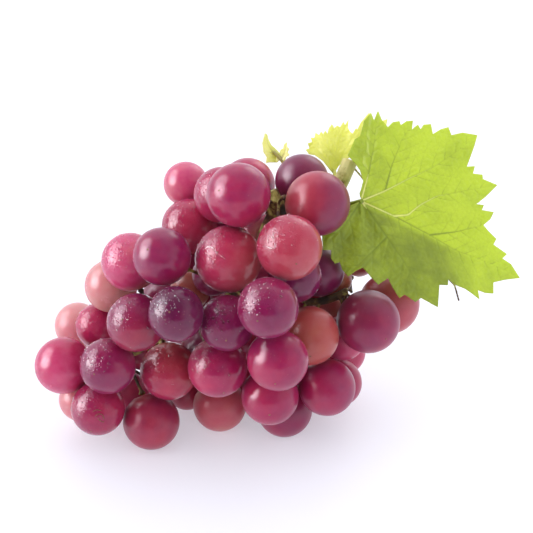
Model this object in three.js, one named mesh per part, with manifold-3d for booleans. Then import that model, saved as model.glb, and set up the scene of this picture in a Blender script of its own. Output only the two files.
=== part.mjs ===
// Bunch of grapes lying on a flat surface, with the piece of vine shoot it hangs from,
// one large leaf, one young leaf and a small folded leaf at the tip of a side shoot.
// Millimetres, +Z up, X along the bunch. The origin is under the middle of the whole part.

import * as THREE from "three";
import { mergeVertices } from "three/addons/utils/BufferGeometryUtils.js";
import Module from "manifold-3d";

const wasm = await Module();
wasm.setup();

// Driving dimensions of the berries
const BERRY_DIAMETER = 22.6;        // mean of the front row
const TOUCH_GAP = 0.3;              // between pieces that touch
const FLOOR_PRESS = 0.05;           // share of its radius that a berry flattens on the surface
const HIDDEN_RADII = [9.8, 11.2];   // berries that can't be seen from the front
const STEM_ROOM = 4.2;              // from the middle of a thick stem to a hidden berry
const PUSH_STEP = 0.2;              // a berry is pushed along by this much at a time
const FAR_BEHIND = 60;              // where a hidden berry's push starts
const HIDDEN_SEED = 7;
const PIT_RIM_ANGLE = THREE.MathUtils.degToRad(12.5);
const PIT_BOTTOM = 0.885;           // of the radius, from the centre
const BERRY_SIDES = 12;
const BERRY_RINGS = 5;
const RESTING_SIDES = 16;
const RESTING_RINGS = 8;

// Driving dimensions of the stems
const RACHIS_RADIUS = 2.1;
const SHOULDER_RADIUS = 1.7;
const PEDICEL_RADIUS = 0.8;
const STEM_CLEARANCE = 0.42;        // from a stem's side to the nearest berry
const CAP_RADIUS = 1.7;             // swollen end of a pedicel
const CAP_SEAT = 0.965;             // of the berry's radius, from its centre
const CAP_FOOT = 0.62;              // of the cap's radius, where it sits in the pit
const CAP_NECK = 0.9;               // of the pedicel's radius, where the cap ends
const CAP_WIDEST_HEIGHT = 0.7;
const CAP_HEIGHT = 2.3;
const CAP_CLEARANCE = 0.35;         // from a cap's side to the nearest other berry
const MOUTH_HEIGHT = 0.6;           // over the skin, where the cap's clearance is taken
const NECK_HEIGHT = 1.2;            // over the skin, where the pedicel's own line starts
const LEAST_REACH = 1.6;            // over the skin, where a pedicel's route may end
const MOST_REACH = 3.4;
const HIDING_WORTH = 20;            // longest detour that keeps a pedicel out of sight
const STEM_END_SPREAD = Math.cos(THREE.MathUtils.degToRad(22));
const SHOOT_RADIUS = 3.2;
const SIDE_SHOOT_RADIUS = 0.9;
const TENDRIL_RADIUS = 0.55;
const PETIOLE_RADIUS = 1.2;
const STEM_SIDES = 6;
const PEDICEL_SIDES = 4;
const SHOOT_SIDES = 10;
const STEM_STEP = 4;                // length of a straight stretch
const PETIOLE_STEP = 5;
const YOUNG_PETIOLE_STEP = 4.5;
const TENDRIL_STEP = 7;

// Lattice on which the pedicels find their way among the berries
const LATTICE_CELL = 1;
const LATTICE_FINENESS = 10;        // steps of path length to a millimetre
const LATTICE_MARGIN = 2;
const BERRY_REACH = 4;              // how far round a berry the lattice is filled in
const ROOM_LIMIT = 9;               // a stem keeps nearer to the berries than this
const EVENING_ROUNDS = 12;
const CLEARANCE_STEP = 0.5;
const OWN_POINTS = 3;               // first points of a pedicel, which may be near its own berry
const KEPT_STRIDES = [6, 4, 3, 2];  // of the evened points one in so many is kept
const MERGE_DISTANCE = 1e-4;

// Driving dimensions of the leaves
const BLADE_THICKNESS = 0.85;

// Colours, and the berries by number that aren't crimson
const COLOURS = {
  crimson: "#8e2340", purple: "#4b1a3c", amber: "#a8693c", pink: "#b04a5a",
  stem: "#7a6a3a", leaf: "#8cb132", youngLeaf: "#cfd05a",
};
const TINTS = {
  purple: [5, 14, 15, 17, 18, 20, 32, 41],
  amber: [12, 19, 26, 33, 42, 43],
  pink: [1, 7, 21, 29, 4, 40],
};
const BERRY_ROUGHNESS = 0.3;
const STEM_ROUGHNESS = 0.7;
const LEAF_ROUGHNESS = 0.6;

// Viewpoint from which the rows and columns below were read, in a frame 533 wide and high.
// Depth is measured along the line of sight, in millimetres, from the middle of the bunch.
const FRAME_CENTRE = 266.5;
const FRONT_FRAME_RADIUS = 30;
const FRONT_DEPTH = -30;
const VIEW_DISTANCE = 500;
const FOCAL = (VIEW_DISTANCE + FRONT_DEPTH) * FRONT_FRAME_RADIUS / (BERRY_DIAMETER / 2);
const ELEVATION = THREE.MathUtils.degToRad(28);
const AIM_HEIGHT = 63.5;

const RIGHT = new THREE.Vector3(1, 0, 0);
const FORWARD = new THREE.Vector3(0, Math.cos(ELEVATION), -Math.sin(ELEVATION));
const UPWARD = new THREE.Vector3(0, Math.sin(ELEVATION), Math.cos(ELEVATION));

// Berries that can be seen, front ones first: number, column, row and radius in the frame,
// and the least depth of the centre. A berry is pushed back from there until it is clear.
const SEEN = [
  [16, 268, 307.8, 31, -56], [7, 289.5, 247.5, 33.2, -52], [14, 176, 314, 28.2, -48],
  [15, 227, 323, 28.5, -40], [3, 238.5, 195, 32.5, -42], [10, 162, 256.5, 29.5, -38],
  [13, 136, 322.5, 29.5, -33], [25, 277.8, 360.3, 31, -41], [24, 217.5, 367.5, 30, -27],
  [8, 228.5, 259, 34, -40], [6, 317.5, 203.5, 32.7, -34], [22, 107.8, 366, 28.3, -23],
  [23, 169, 371, 29, -15], [34, 270, 396, 29, -20], [26, 309.5, 335.7, 29.8, -22],
  [27, 368.2, 321.5, 31.9, -18], [11, 130.5, 262, 29.5, -20], [2, 222, 195, 28.5, -20],
  [9, 189.5, 226.5, 28, -20], [4, 248, 185, 27.3, -20], [30, 98, 408.3, 27.1, -11],
  [21, 63.4, 365.4, 28.5, -8], [31, 151.3, 421.2, 28.4, -5], [33, 219.7, 404.8, 26.6, 2],
  [36, 327, 387.3, 28.6, -12], [35, 284.5, 409, 28, 0], [17, 295, 276, 27, -30],
  [5, 302, 181, 27, -14], [18, 319, 271, 25.5, -12], [28, 389, 303.5, 30.5, -4],
  [1, 186, 184, 22.5, -4], [12, 111, 286, 26.5, -8], [20, 98, 326, 22.5, -10],
  [38, 343, 338, 22.5, 0], [19, 78, 325.5, 23.2, 0], [29, 81, 399, 22, 6],
  [37, 338, 382.5, 24, 6], [41, 213, 275, 21, -10], [40, 331, 279, 21, 0],
  [42, 357, 255, 22, 0], [39, 331, 316, 21, 6], [43, 190, 290, 20, -5],
  [32, 187, 390, 20, 8],
];
const RESTING = [31, 33, 35];       // seen berries that lie on the surface

// Seen stem ends: berry number, and how far right, up and back its stem end points
const STEM_ENDS = new Map([[6, [-0.97, 0.12, -0.2]]]);

// Berries at the back: where each is along the bunch, and its height unless it lies on the surface
const HIDDEN = [
  [-58], [-34], [-10], [13],
  [-50, 29], [-24, 31], [2, 32], [32, 19], [-42, 44], [-12, 51], [10, 54], [-18, 71], [9, 71],
];

// Stems that follow a route of their own: column, row and depth of each point
const RACHIS_ROUTE = [
  [278, 203, -22], [266, 226, -15], [248, 272, -12], [226, 300, -13],
  [195, 325, -12], [160, 337, -8], [132, 352, -3], [114, 352, 3],
];
const SHOULDER_ROUTE = [
  [254, 256, -13], [281, 276, -8], [306, 301, -9], [330, 299, -9], [347, 291, -8],
];
const SHOOT_ROUTE = [
  [270, 191, -22], [276, 204, -21], [288, 216, -17], [303, 222, -10],
  [325, 208, -6], [340, 184, -6], [350, 161, -5],
];
const SIDE_SHOOT_ROUTE = [
  [303, 222, -10], [299, 211, 0], [296, 196, 6], [290, 176, 9], [283, 160, 8], [273, 151, 7],
];
const TENDRIL_ROUTE = [
  [350, 163, -5], [372, 190, 2], [410, 240, 4], [436, 266, 2], [449, 279, -2], [455, 286, -4],
  [457, 293, -6], [459, 301, -6],
];
const PETIOLE_ROUTE = [[325, 208, -6], [338, 208, -10], [350, 204, -14], [362, 201, -20]];
const YOUNG_PETIOLE_ROUTE = [[338, 187, -6], [336, 180, -1], [334, 170, 2]];

// Large leaf: outline clockwise from the stalk, in the frame, with a middle that sees all of it
const LARGE_LEAF = {
  stalk: [361, 201],
  unit: scaleAt(-20),               // millimetres to one unit of the frame
  depth: -21,
  lean: 0.22,                       // back, for each millimetre to the right
  rise: 0.22,                       // back, for each millimetre up
  crown: [15, -3],                  // millimetres right and up from the stalk to the nearest part
  droop: 0.0045,
  ripples: 9,
  ripple: 0.03,
  bands: [0.45, 0.78, 1],
  middle: [400, 205],
  outline: [
    [361, 201], [360, 193], [363, 181], [360, 170], [356, 164], [348, 155], [352, 146], [355, 139],
    [360, 136], [364, 121], [371, 112.5], [374, 120], [378, 110.5], [382, 120], [388, 127],
    [393, 122], [399.5, 121], [401, 125], [406.5, 121], [413, 120.5], [412, 129.5], [418, 124.5],
    [420.5, 129], [424, 124.5], [431, 124], [433, 134], [441, 129], [448.5, 127], [451.5, 135],
    [462.5, 132.5], [477.5, 135], [474.5, 146], [467, 166.5], [475, 166], [473, 173.5],
    [482.5, 174.5], [483, 179], [497.5, 185], [487, 195.5], [476.5, 204], [484, 205], [482, 210],
    [494, 212], [490.5, 219], [483.5, 225], [488.5, 231], [496.5, 239], [493.5, 244.5], [507, 254],
    [502.5, 258.5], [511, 264], [520, 278], [504, 280], [493.5, 282.5], [493.5, 293.5], [486, 293],
    [478, 290], [479.5, 299], [473, 294], [465, 288.5], [456, 285], [448.5, 279], [448, 285],
    [439.5, 285], [438, 307], [431, 303.5], [421, 298], [415.5, 302], [410, 298], [404.5, 294.5],
    [399.5, 298], [394, 289.5], [388, 278], [378.5, 284.5], [372, 278], [368, 273], [363, 267.5],
    [355, 271], [348, 276.5], [342.5, 270], [340, 262], [335, 263.5], [331.5, 258.5], [331.5, 250],
    [323, 250], [322, 236], [332, 215], [350, 206],
  ],
};

// Young leaf behind it, from the stalk
const YOUNG_LEAF = {
  stalk: [334, 174],
  unit: scaleAt(0),
  depth: 1,
  lean: 0.15,
  rise: 0.25,
  waves: 0.5,
  wave: 1.2,
  bands: [0.5, 1],
  middle: [340, 148],
  outline: [
    [334, 174], [323, 161], [314.5, 155], [309, 154], [306.5, 149.5], [311.5, 150.5], [309, 144],
    [313, 142.5], [316.5, 132.5], [321.5, 136], [325, 131.5], [328.5, 133.5], [332, 124.5],
    [337.5, 127], [343, 124], [349.5, 119.5], [349, 130], [352, 133.5], [361.5, 122],
    [369.5, 112.5], [372, 124], [387.5, 119], [384, 134], [376, 142], [378, 150], [366, 152],
    [360, 158], [350, 157], [343, 161], [338.5, 166],
  ],
};

// Folded leaf at the tip of the side shoot
const TIP_LEAF = {
  fold: 276,
  depth: 8,
  slope: 0.22,                      // forward, for each unit of the frame away from the fold
  bands: [0.5, 1],
  middle: [275, 156],
  outline: [
    [270, 162.5], [266, 163], [262.5, 150.5], [265, 133], [267.5, 134.5], [271, 145],
    [279.5, 153], [282.5, 147], [286.5, 142], [289, 149.5], [289.5, 155], [283.5, 161], [279, 162.5],
  ],
};

// Point of the real bunch seen at a column and row of the frame, at a depth
function spot(column, row, depth) {
  const across = (column - FRAME_CENTRE) / FOCAL;
  const down = (row - FRAME_CENTRE) / FOCAL;
  return new THREE.Vector3(0, 0, AIM_HEIGHT)
    .addScaledVector(FORWARD, depth)
    .addScaledVector(RIGHT, across * (VIEW_DISTANCE + depth))
    .addScaledVector(UPWARD, -down * (VIEW_DISTANCE + depth));
}

// Millimetres to one unit of the frame at a depth
function scaleAt(depth) {
  return (VIEW_DISTANCE + depth) / FOCAL;
}

// Even random numbers from 0 to 1, the same on every run
function makeRandom(seed) {
  let state = seed;
  return () => {
    state = (state * 1664525 + 1013904223) % 4294967296;
    return state / 4294967296;
  };
}

// Smooth curve through points
function smoothCurve(points) {
  return new THREE.CatmullRomCurve3(points, false, "centripetal");
}

// Seen berries, each pushed back along its line of sight until it clears those before it,
// and on to the surface if it is one of those that the bunch rests on
function placeSeen() {
  const placed = [];
  for (const [number, column, row, frameRadius, leastDepth] of SEEN) {
    let depth = leastDepth;
    let settled = false;
    while (!settled) {
      const centre = spot(column, row, depth);
      const radius = frameRadius * scaleAt(depth);
      const clear = placed.every(
        (other) => other.centre.distanceTo(centre) > other.radius + radius + TOUCH_GAP,
      );
      const lift = centre.z - radius * (1 - FLOOR_PRESS);
      settled = clear && !(RESTING.includes(number) && lift > 0);
      if (settled) {
        placed.push({ number, centre, radius });
      }
      depth += PUSH_STEP;
    }
  }
  return placed;
}

// Berries at the back, each pushed in from behind until it meets a berry or a stem
function placeHidden(seenBerries, stemPoints) {
  const random = makeRandom(HIDDEN_SEED);
  const placed = [...seenBerries];
  for (const [x, height] of HIDDEN) {
    const radius = THREE.MathUtils.lerp(...HIDDEN_RADII, random());
    const z = height ?? radius * (1 - FLOOR_PRESS);
    let y = FAR_BEHIND;
    let clear = true;
    while (clear) {
      y -= PUSH_STEP;
      const centre = new THREE.Vector3(x, y - PUSH_STEP, z);
      clear = placed.every(
        (other) => other.centre.distanceTo(centre) > other.radius + radius + TOUCH_GAP,
      ) && stemPoints.every((point) => point.distanceTo(centre) > radius + STEM_ROOM);
    }
    placed.push({ number: placed.length + 1, centre: new THREE.Vector3(x, y, z), radius });
  }
  return placed;
}

// Free space among the berries, sampled on a lattice
class FreeSpace {
  constructor(berries) {
    this.berries = berries;
    const bounds = new THREE.Box3();
    for (const { centre, radius } of berries) {
      const size = new THREE.Vector3().setScalar(2 * radius);
      bounds.union(new THREE.Box3().setFromCenterAndSize(centre, size));
    }
    this.low = bounds.min.addScalar(-LATTICE_MARGIN);
    const size = bounds.max.addScalar(LATTICE_MARGIN).sub(this.low);
    this.counts = size.toArray().map((length) => Math.ceil(length / LATTICE_CELL));
    const cells = this.counts.reduce((product, count) => product * count);
    this.room = new Float32Array(cells).fill(ROOM_LIMIT);
    for (const { centre, radius } of berries) {
      const first = this.cellOf(centre.clone().addScalar(-radius - BERRY_REACH));
      const last = this.cellOf(centre.clone().addScalar(radius + BERRY_REACH));
      for (let i = Math.max(first[0], 0); i <= Math.min(last[0], this.counts[0] - 1); i += 1) {
        for (let j = Math.max(first[1], 0); j <= Math.min(last[1], this.counts[1] - 1); j += 1) {
          for (let k = Math.max(first[2], 0); k <= Math.min(last[2], this.counts[2] - 1); k += 1) {
            const index = this.indexOf(i, j, k);
            const point = this.pointOf(index);
            const room = Math.min(point.distanceTo(centre) - radius, point.z);
            this.room[index] = Math.min(this.room[index], room);
          }
        }
      }
    }
  }

  cellOf(point) {
    return point.clone().sub(this.low).divideScalar(LATTICE_CELL).round().toArray();
  }

  indexOf(i, j, k) {
    return (i * this.counts[1] + j) * this.counts[2] + k;
  }

  pointOf(index) {
    const k = index % this.counts[2];
    const j = Math.floor(index / this.counts[2]) % this.counts[1];
    const i = Math.floor(index / this.counts[2] / this.counts[1]);
    return new THREE.Vector3(i, j, k).multiplyScalar(LATTICE_CELL).add(this.low);
  }

  // Distance from a point to the nearest berry, leaving one berry out
  roomAt(point, except = null) {
    return Math.min(...this.berries.filter((berry) => berry !== except).map(
      (berry) => berry.centre.distanceTo(point) - berry.radius,
    ));
  }

  // Shortest way from the source points to every cell that a stem of some width can reach
  spread(sources, need) {
    this.from = new Int32Array(this.room.length).fill(-1);
    this.cost = new Float32Array(this.room.length).fill(Infinity);
    const levels = [];
    for (const point of sources) {
      const index = this.indexOf(...this.cellOf(point));
      this.cost[index] = 0;
      (levels[0] ??= []).push(index);
    }
    const steps = [];
    for (let i = -1; i <= 1; i += 1) {
      for (let j = -1; j <= 1; j += 1) {
        for (let k = -1; k <= 1; k += 1) {
          const length = Math.hypot(i, j, k) * LATTICE_CELL;
          if (length > 0) {
            steps.push([this.indexOf(i, j, k), Math.round(length * LATTICE_FINENESS)]);
          }
        }
      }
    }
    for (let level = 0; level < levels.length; level += 1) {
      for (const index of levels[level] ?? []) {
        if (this.cost[index] < level) {
          continue;
        }
        for (const [offset, length] of steps) {
          const next = index + offset;
          const cost = level + length;
          if (this.room[next] > need && this.room[next] < ROOM_LIMIT && cost < this.cost[next]) {
            this.cost[next] = cost;
            this.from[next] = index;
            (levels[cost] ??= []).push(next);
          }
        }
      }
    }
  }
}

// Closed solid of a three.js geometry, for cutting and joining
function solidOf(geometry) {
  const bare = geometry.index ? geometry.toNonIndexed() : geometry.clone();
  bare.deleteAttribute("normal");
  bare.deleteAttribute("uv");
  const merged = mergeVertices(bare, MERGE_DISTANCE);
  return new wasm.Manifold(new wasm.Mesh({
    numProp: 3,
    vertProperties: new Float32Array(merged.attributes.position.array),
    triVerts: new Uint32Array(merged.index.array),
  }));
}

// Geometry of a solid, as flat triangles
function geometryOf(solid) {
  const mesh = solid.getMesh();
  const geometry = new THREE.BufferGeometry();
  geometry.setAttribute("position", new THREE.BufferAttribute(mesh.vertProperties, 3));
  geometry.setIndex(new THREE.BufferAttribute(mesh.triVerts, 1));
  geometry.computeVertexNormals();
  return geometry;
}

// Many solids joined in one; scraps that hold on to nothing are dropped
function joined(solids) {
  const whole = wasm.Manifold.union(solids);
  const pieces = whole.decompose().sort((a, b) => b.volume() - a.volume());
  return pieces[0];
}

// Outline of a round stem's section
function stemSection(radius, sides = STEM_SIDES) {
  const shape = new THREE.Shape();
  for (let side = 0; side < sides; side += 1) {
    const angle = side / sides * 2 * Math.PI;
    shape[side === 0 ? "moveTo" : "lineTo"](radius * Math.cos(angle), radius * Math.sin(angle));
  }
  shape.closePath();
  return shape;
}

// Number of straight stretches in a stem through points
function stretchesOf(points) {
  return Math.max(points.length - 1, 2);
}

// Round stem along points
function stem(points, radius, sides = STEM_SIDES) {
  return solidOf(new THREE.ExtrudeGeometry(stemSection(radius, sides), {
    steps: stretchesOf(points), bevelEnabled: false, extrudePath: smoothCurve(points),
  }));
}

// Straight stretches of the middle line of a stem through points
function stretchLines(points) {
  const line = smoothCurve(points).getSpacedPoints(stretchesOf(points));
  return line.slice(1).map((end, i) => new THREE.Line3(line[i], end));
}

// Place nearest to a point on the middle line of a stem through points
function nearestOnStem(points, point) {
  let nearest = points[0];
  for (const stretch of stretchLines(points)) {
    const place = stretch.closestPointToPoint(point, true, new THREE.Vector3());
    if (place.distanceTo(point) < nearest.distanceTo(point)) {
      nearest = place;
    }
  }
  return nearest;
}

// Points of a route about a given step apart
function alongRoute(route, step) {
  const curve = smoothCurve(route.map((place) => spot(...place)));
  return curve.getSpacedPoints(Math.max(Math.round(curve.getLength() / step), 2));
}

// Points of a side stem, the first one just clear of the shoot's side
function fromShoot(route, step) {
  const points = alongRoute(route, step);
  const shoot = alongRoute(SHOOT_ROUTE, 1);
  const nearest = shoot.reduce((best, point) => (
    point.distanceTo(points[1]) < best.distanceTo(points[1]) ? point : best
  ));
  const outward = points[1].clone().sub(nearest).normalize();
  points[0] = nearest.clone().addScaledVector(outward, SHOOT_RADIUS + 2 * TOUCH_GAP);
  return points;
}

// Whether a pedicel through points stays clear of every berry, its own near its start left out
function staysClear(points, space, owner) {
  return stretchLines(points).every((stretch, i) => {
    const checks = Math.ceil(stretch.distance() / CLEARANCE_STEP);
    return Array.from({ length: checks + 1 }, (_, j) => {
      const place = stretch.at(j / checks, new THREE.Vector3());
      return space.roomAt(place, i === 0 ? owner : null) > PEDICEL_RADIUS + TOUCH_GAP;
    }).every(Boolean);
  });
}

// Points of a lattice path evened out, kept clear of the berries, and thinned
function evened(points, space, owner, need) {
  const line = points.map((point) => point.clone());
  for (let round = 0; round < EVENING_ROUNDS; round += 1) {
    for (let i = 1; i < line.length - 1; i += 1) {
      const middle = line[i - 1].clone().add(line[i + 1]).multiplyScalar(0.5);
      const moved = line[i].clone().lerp(middle, 0.5);
      const except = i < OWN_POINTS ? owner : null;
      if (space.roomAt(moved, except) > need) {
        line[i].copy(moved);
      }
    }
  }
  const thinned = KEPT_STRIDES.map((stride) => line.filter((point, i) => (
    i === 0 || i === line.length - 1 || (i % stride === 0 && line.length - 1 - i >= stride / 2)
  )));
  return thinned.find((some) => staysClear(some, space, owner)) ?? thinned.at(-1);
}

// Pedicels: each berry's way to the rachis through free space, joining those already there
function routePedicels(berries, trunkPoints) {
  const space = new FreeSpace(berries);
  const need = PEDICEL_RADIUS + STEM_CLEARANCE;
  space.spread(trunkPoints, need);
  const ends = berries.map((berry) => {
    let best = null;
    const wanted = STEM_ENDS.get(berry.number);
    const heading = wanted && new THREE.Vector3().addScaledVector(RIGHT, wanted[0])
      .addScaledVector(UPWARD, wanted[1]).addScaledVector(FORWARD, wanted[2]).normalize();
    for (let index = 0; index < space.cost.length; index += 1) {
      if (space.cost[index] === Infinity) {
        continue;
      }
      const point = space.pointOf(index);
      const gap = point.distanceTo(berry.centre) - berry.radius;
      const direction = point.clone().sub(berry.centre).normalize();
      const pointsRight = !heading || direction.dot(heading) > STEM_END_SPREAD;
      if (gap > LEAST_REACH && gap < MOST_REACH && pointsRight) {
        const mouth = berry.centre.clone()
          .addScaledVector(direction, berry.radius + MOUTH_HEIGHT);
        const towardsViewer = heading ? 0 : Math.max(-direction.dot(FORWARD), 0);
        const score = space.cost[index] / LATTICE_FINENESS + towardsViewer * HIDING_WORTH;
        if ((best === null || score < best.score)
          && space.roomAt(mouth, berry) > CAP_RADIUS + CAP_CLEARANCE) {
          best = { berry, index, direction, score };
        }
      }
    }
    return best;
  });
  const taken = new Map();
  const branches = [];
  for (const end of ends.sort((a, b) => a.score - b.score)) {
    const { berry, direction } = end;
    const neck = berry.centre.clone().addScaledVector(direction, berry.radius + NECK_HEIGHT);
    const points = [neck];
    let index = end.index;
    while (index !== -1 && !taken.has(index)) {
      points.push(space.pointOf(index));
      index = space.from[index];
    }
    if (index !== -1) {
      points.push(taken.get(index));
    }
    const line = evened(points, space, berry, need);
    branches.push({ berry, direction, points: line });
    index = end.index;
    while (index !== -1 && !taken.has(index)) {
      taken.set(index, nearestOnStem(line, space.pointOf(index)));
      index = space.from[index];
    }
  }
  return branches;
}

// Swollen end of a pedicel, seated in the pit of its berry
function pedicelCap(berry, direction) {
  const seat = berry.radius * CAP_SEAT;
  const profile = [
    [0, 0], [CAP_RADIUS * CAP_FOOT, 0], [CAP_RADIUS, CAP_WIDEST_HEIGHT],
    [PEDICEL_RADIUS * CAP_NECK, CAP_HEIGHT], [0, CAP_HEIGHT],
  ].map(([radius, height]) => new THREE.Vector2(radius, height));
  const turn = new THREE.Quaternion().setFromUnitVectors(new THREE.Vector3(0, 1, 0), direction);
  const place = berry.centre.clone().addScaledVector(direction, seat);
  const matrix = new THREE.Matrix4().compose(place, turn, new THREE.Vector3(1, 1, 1));
  return solidOf(new THREE.LatheGeometry(profile, PEDICEL_SIDES).applyMatrix4(matrix));
}

// Berry about its own centre: a sphere with a shallow pit at the stem end
function berryGeometry(berry, direction) {
  const resting = berry.centre.z < berry.radius;
  const sides = resting ? RESTING_SIDES : BERRY_SIDES;
  const rings = resting ? RESTING_RINGS : BERRY_RINGS;
  const profile = [new THREE.Vector2(0, -berry.radius)];
  for (let ring = 1; ring <= rings; ring += 1) {
    const angle = Math.PI - ring / rings * (Math.PI - PIT_RIM_ANGLE);
    profile.push(new THREE.Vector2(berry.radius * Math.sin(angle), berry.radius * Math.cos(angle)));
  }
  profile.push(new THREE.Vector2(0, berry.radius * PIT_BOTTOM));
  const turn = new THREE.Quaternion().setFromUnitVectors(new THREE.Vector3(0, 1, 0), direction);
  const geometry = new THREE.LatheGeometry(profile, sides).applyQuaternion(turn);
  if (!resting) {
    return geometryOf(solidOf(geometry));
  }
  const width = 4 * berry.radius;
  const block = new THREE.BoxGeometry(width, width, width);
  block.translate(0, 0, -berry.centre.z - width / 2);
  return geometryOf(solidOf(geometry).subtract(solidOf(block)));
}

// Leaf blade: rings of points from its middle to its outline, alike on both faces
function blade(leaf, depthAt) {
  const thickness = FORWARD.clone().multiplyScalar(BLADE_THICKNESS);
  const points = [leaf.middle];
  for (const share of leaf.bands) {
    for (const [column, row] of leaf.outline) {
      points.push([
        THREE.MathUtils.lerp(leaf.middle[0], column, share),
        THREE.MathUtils.lerp(leaf.middle[1], row, share),
      ]);
    }
  }
  const front = points.map(([column, row]) => spot(column, row, depthAt(column, row)));
  const back = front.map((point) => point.clone().add(thickness));
  const around = leaf.outline.length;
  const faces = [];
  for (let i = 0; i < around; i += 1) {
    const next = (i + 1) % around;
    faces.push([0, 1 + next, 1 + i]);
    for (let band = 1; band < leaf.bands.length; band += 1) {
      const inner = 1 + (band - 1) * around;
      const outer = inner + around;
      faces.push([inner + i, inner + next, outer + next], [inner + i, outer + next, outer + i]);
    }
  }
  const count = front.length;
  const rim = 1 + (leaf.bands.length - 1) * around;
  const triangles = [...faces, ...faces.map(([a, b, c]) => [a + count, c + count, b + count])];
  for (let i = 0; i < around; i += 1) {
    const a = rim + i;
    const b = rim + (i + 1) % around;
    triangles.push([a, b, b + count], [a, b + count, a + count]);
  }
  const geometry = new THREE.BufferGeometry().setFromPoints([...front, ...back]);
  geometry.setIndex(triangles.flat());
  return solidOf(geometry);
}

// Millimetres right and up from a leaf's stalk
function fromStalk(leaf, column, row) {
  return [(column - leaf.stalk[0]) * leaf.unit, (leaf.stalk[1] - row) * leaf.unit];
}

// Depth of the large leaf: it leans back to the right and at the top, and its edges droop
function largeLeafDepth(column, row) {
  const { depth, lean, rise, crown, droop, ripples, ripple } = LARGE_LEAF;
  const [across, up] = fromStalk(LARGE_LEAF, column, row);
  const outwards = Math.hypot(across - crown[0], up - crown[1]);
  const wave = Math.sin(Math.atan2(up, across) * ripples) * outwards * ripple;
  return depth + across * lean + up * rise + outwards * outwards * droop + wave;
}

// Depth of the young leaf, which stands up behind the shoot
function youngLeafDepth(column, row) {
  const { depth, lean, rise, waves, wave } = YOUNG_LEAF;
  const [across, up] = fromStalk(YOUNG_LEAF, column, row);
  return depth + across * lean + up * rise + Math.sin(across * waves) * wave;
}

// Depth of the folded tip leaf, deepest along its fold
function tipLeafDepth(column) {
  return TIP_LEAF.depth - Math.abs(column - TIP_LEAF.fold) * TIP_LEAF.slope;
}

// Named mesh of one piece, in its own material
function piece(name, geometry, colour, roughness) {
  const material = new THREE.MeshStandardMaterial({ color: colour, roughness, metalness: 0 });
  const mesh = new THREE.Mesh(geometry, material);
  mesh.name = name;
  return mesh;
}

// Colour of a berry by its number
function berryColour(number) {
  const tint = Object.keys(TINTS).find((name) => TINTS[name].includes(number));
  return COLOURS[tint ?? "crimson"];
}

// The whole bunch
function buildBunch() {
  const routes = [RACHIS_ROUTE, SHOULDER_ROUTE, SHOOT_ROUTE, SIDE_SHOOT_ROUTE, PETIOLE_ROUTE]
    .map((route) => alongRoute(route, STEM_STEP));
  const berries = placeHidden(placeSeen(), routes.flat());
  const branches = routePedicels(berries, [...routes[0], ...routes[1]]);
  const group = new THREE.Group();
  for (const { berry, direction } of branches) {
    const name = `berry_${String(berry.number).padStart(2, "0")}`;
    const geometry = berryGeometry(berry, direction);
    const mesh = piece(name, geometry, berryColour(berry.number), BERRY_ROUGHNESS);
    mesh.position.copy(berry.centre);
    group.add(mesh);
  }
  const stalk = [
    stem(routes[0], RACHIS_RADIUS), stem(routes[1], SHOULDER_RADIUS),
    stem(routes[2], SHOOT_RADIUS, SHOOT_SIDES),
    stem(alongRoute(TENDRIL_ROUTE, TENDRIL_STEP), TENDRIL_RADIUS, PEDICEL_SIDES),
  ];
  for (const { berry, direction, points } of branches) {
    stalk.push(stem(points, PEDICEL_RADIUS, PEDICEL_SIDES), pedicelCap(berry, direction));
  }
  group.add(piece("stalk", geometryOf(joined(stalk)), COLOURS.stem, STEM_ROUGHNESS));
  group.add(piece("large_leaf", geometryOf(joined([
    blade(LARGE_LEAF, largeLeafDepth),
    stem(fromShoot(PETIOLE_ROUTE, PETIOLE_STEP), PETIOLE_RADIUS),
  ])), COLOURS.leaf, LEAF_ROUGHNESS));
  group.add(piece("young_leaf", geometryOf(joined([
    blade(YOUNG_LEAF, youngLeafDepth),
    stem(fromShoot(YOUNG_PETIOLE_ROUTE, YOUNG_PETIOLE_STEP), SIDE_SHOOT_RADIUS, PEDICEL_SIDES),
  ])), COLOURS.youngLeaf, LEAF_ROUGHNESS));
  group.add(piece("tip_leaf", geometryOf(joined([
    blade(TIP_LEAF, tipLeafDepth),
    stem(fromShoot(SIDE_SHOOT_ROUTE, PETIOLE_STEP), SIDE_SHOOT_RADIUS, PEDICEL_SIDES),
  ])), COLOURS.youngLeaf, LEAF_ROUGHNESS));
  const bounds = new THREE.Box3().setFromObject(group);
  const middle = bounds.getCenter(new THREE.Vector3());
  group.position.set(-middle.x, -middle.y, -bounds.min.z);
  group.updateMatrixWorld(true);
  return group;
}

export default buildBunch();
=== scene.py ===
"""Looks of a bunch of red grapes lying on a table, with its shoot, leaves and tendril.

Metres, +Z up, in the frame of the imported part. The bunch rides on the one body "root".
"""

import logging
import math
import random
from collections.abc import Iterator
from contextlib import contextmanager
from dataclasses import dataclass, field
from enum import Enum

import bpy
import numpy as np
from mathutils import Matrix, Quaternion, Vector
from mathutils.geometry import delaunay_2d_cdt

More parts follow.
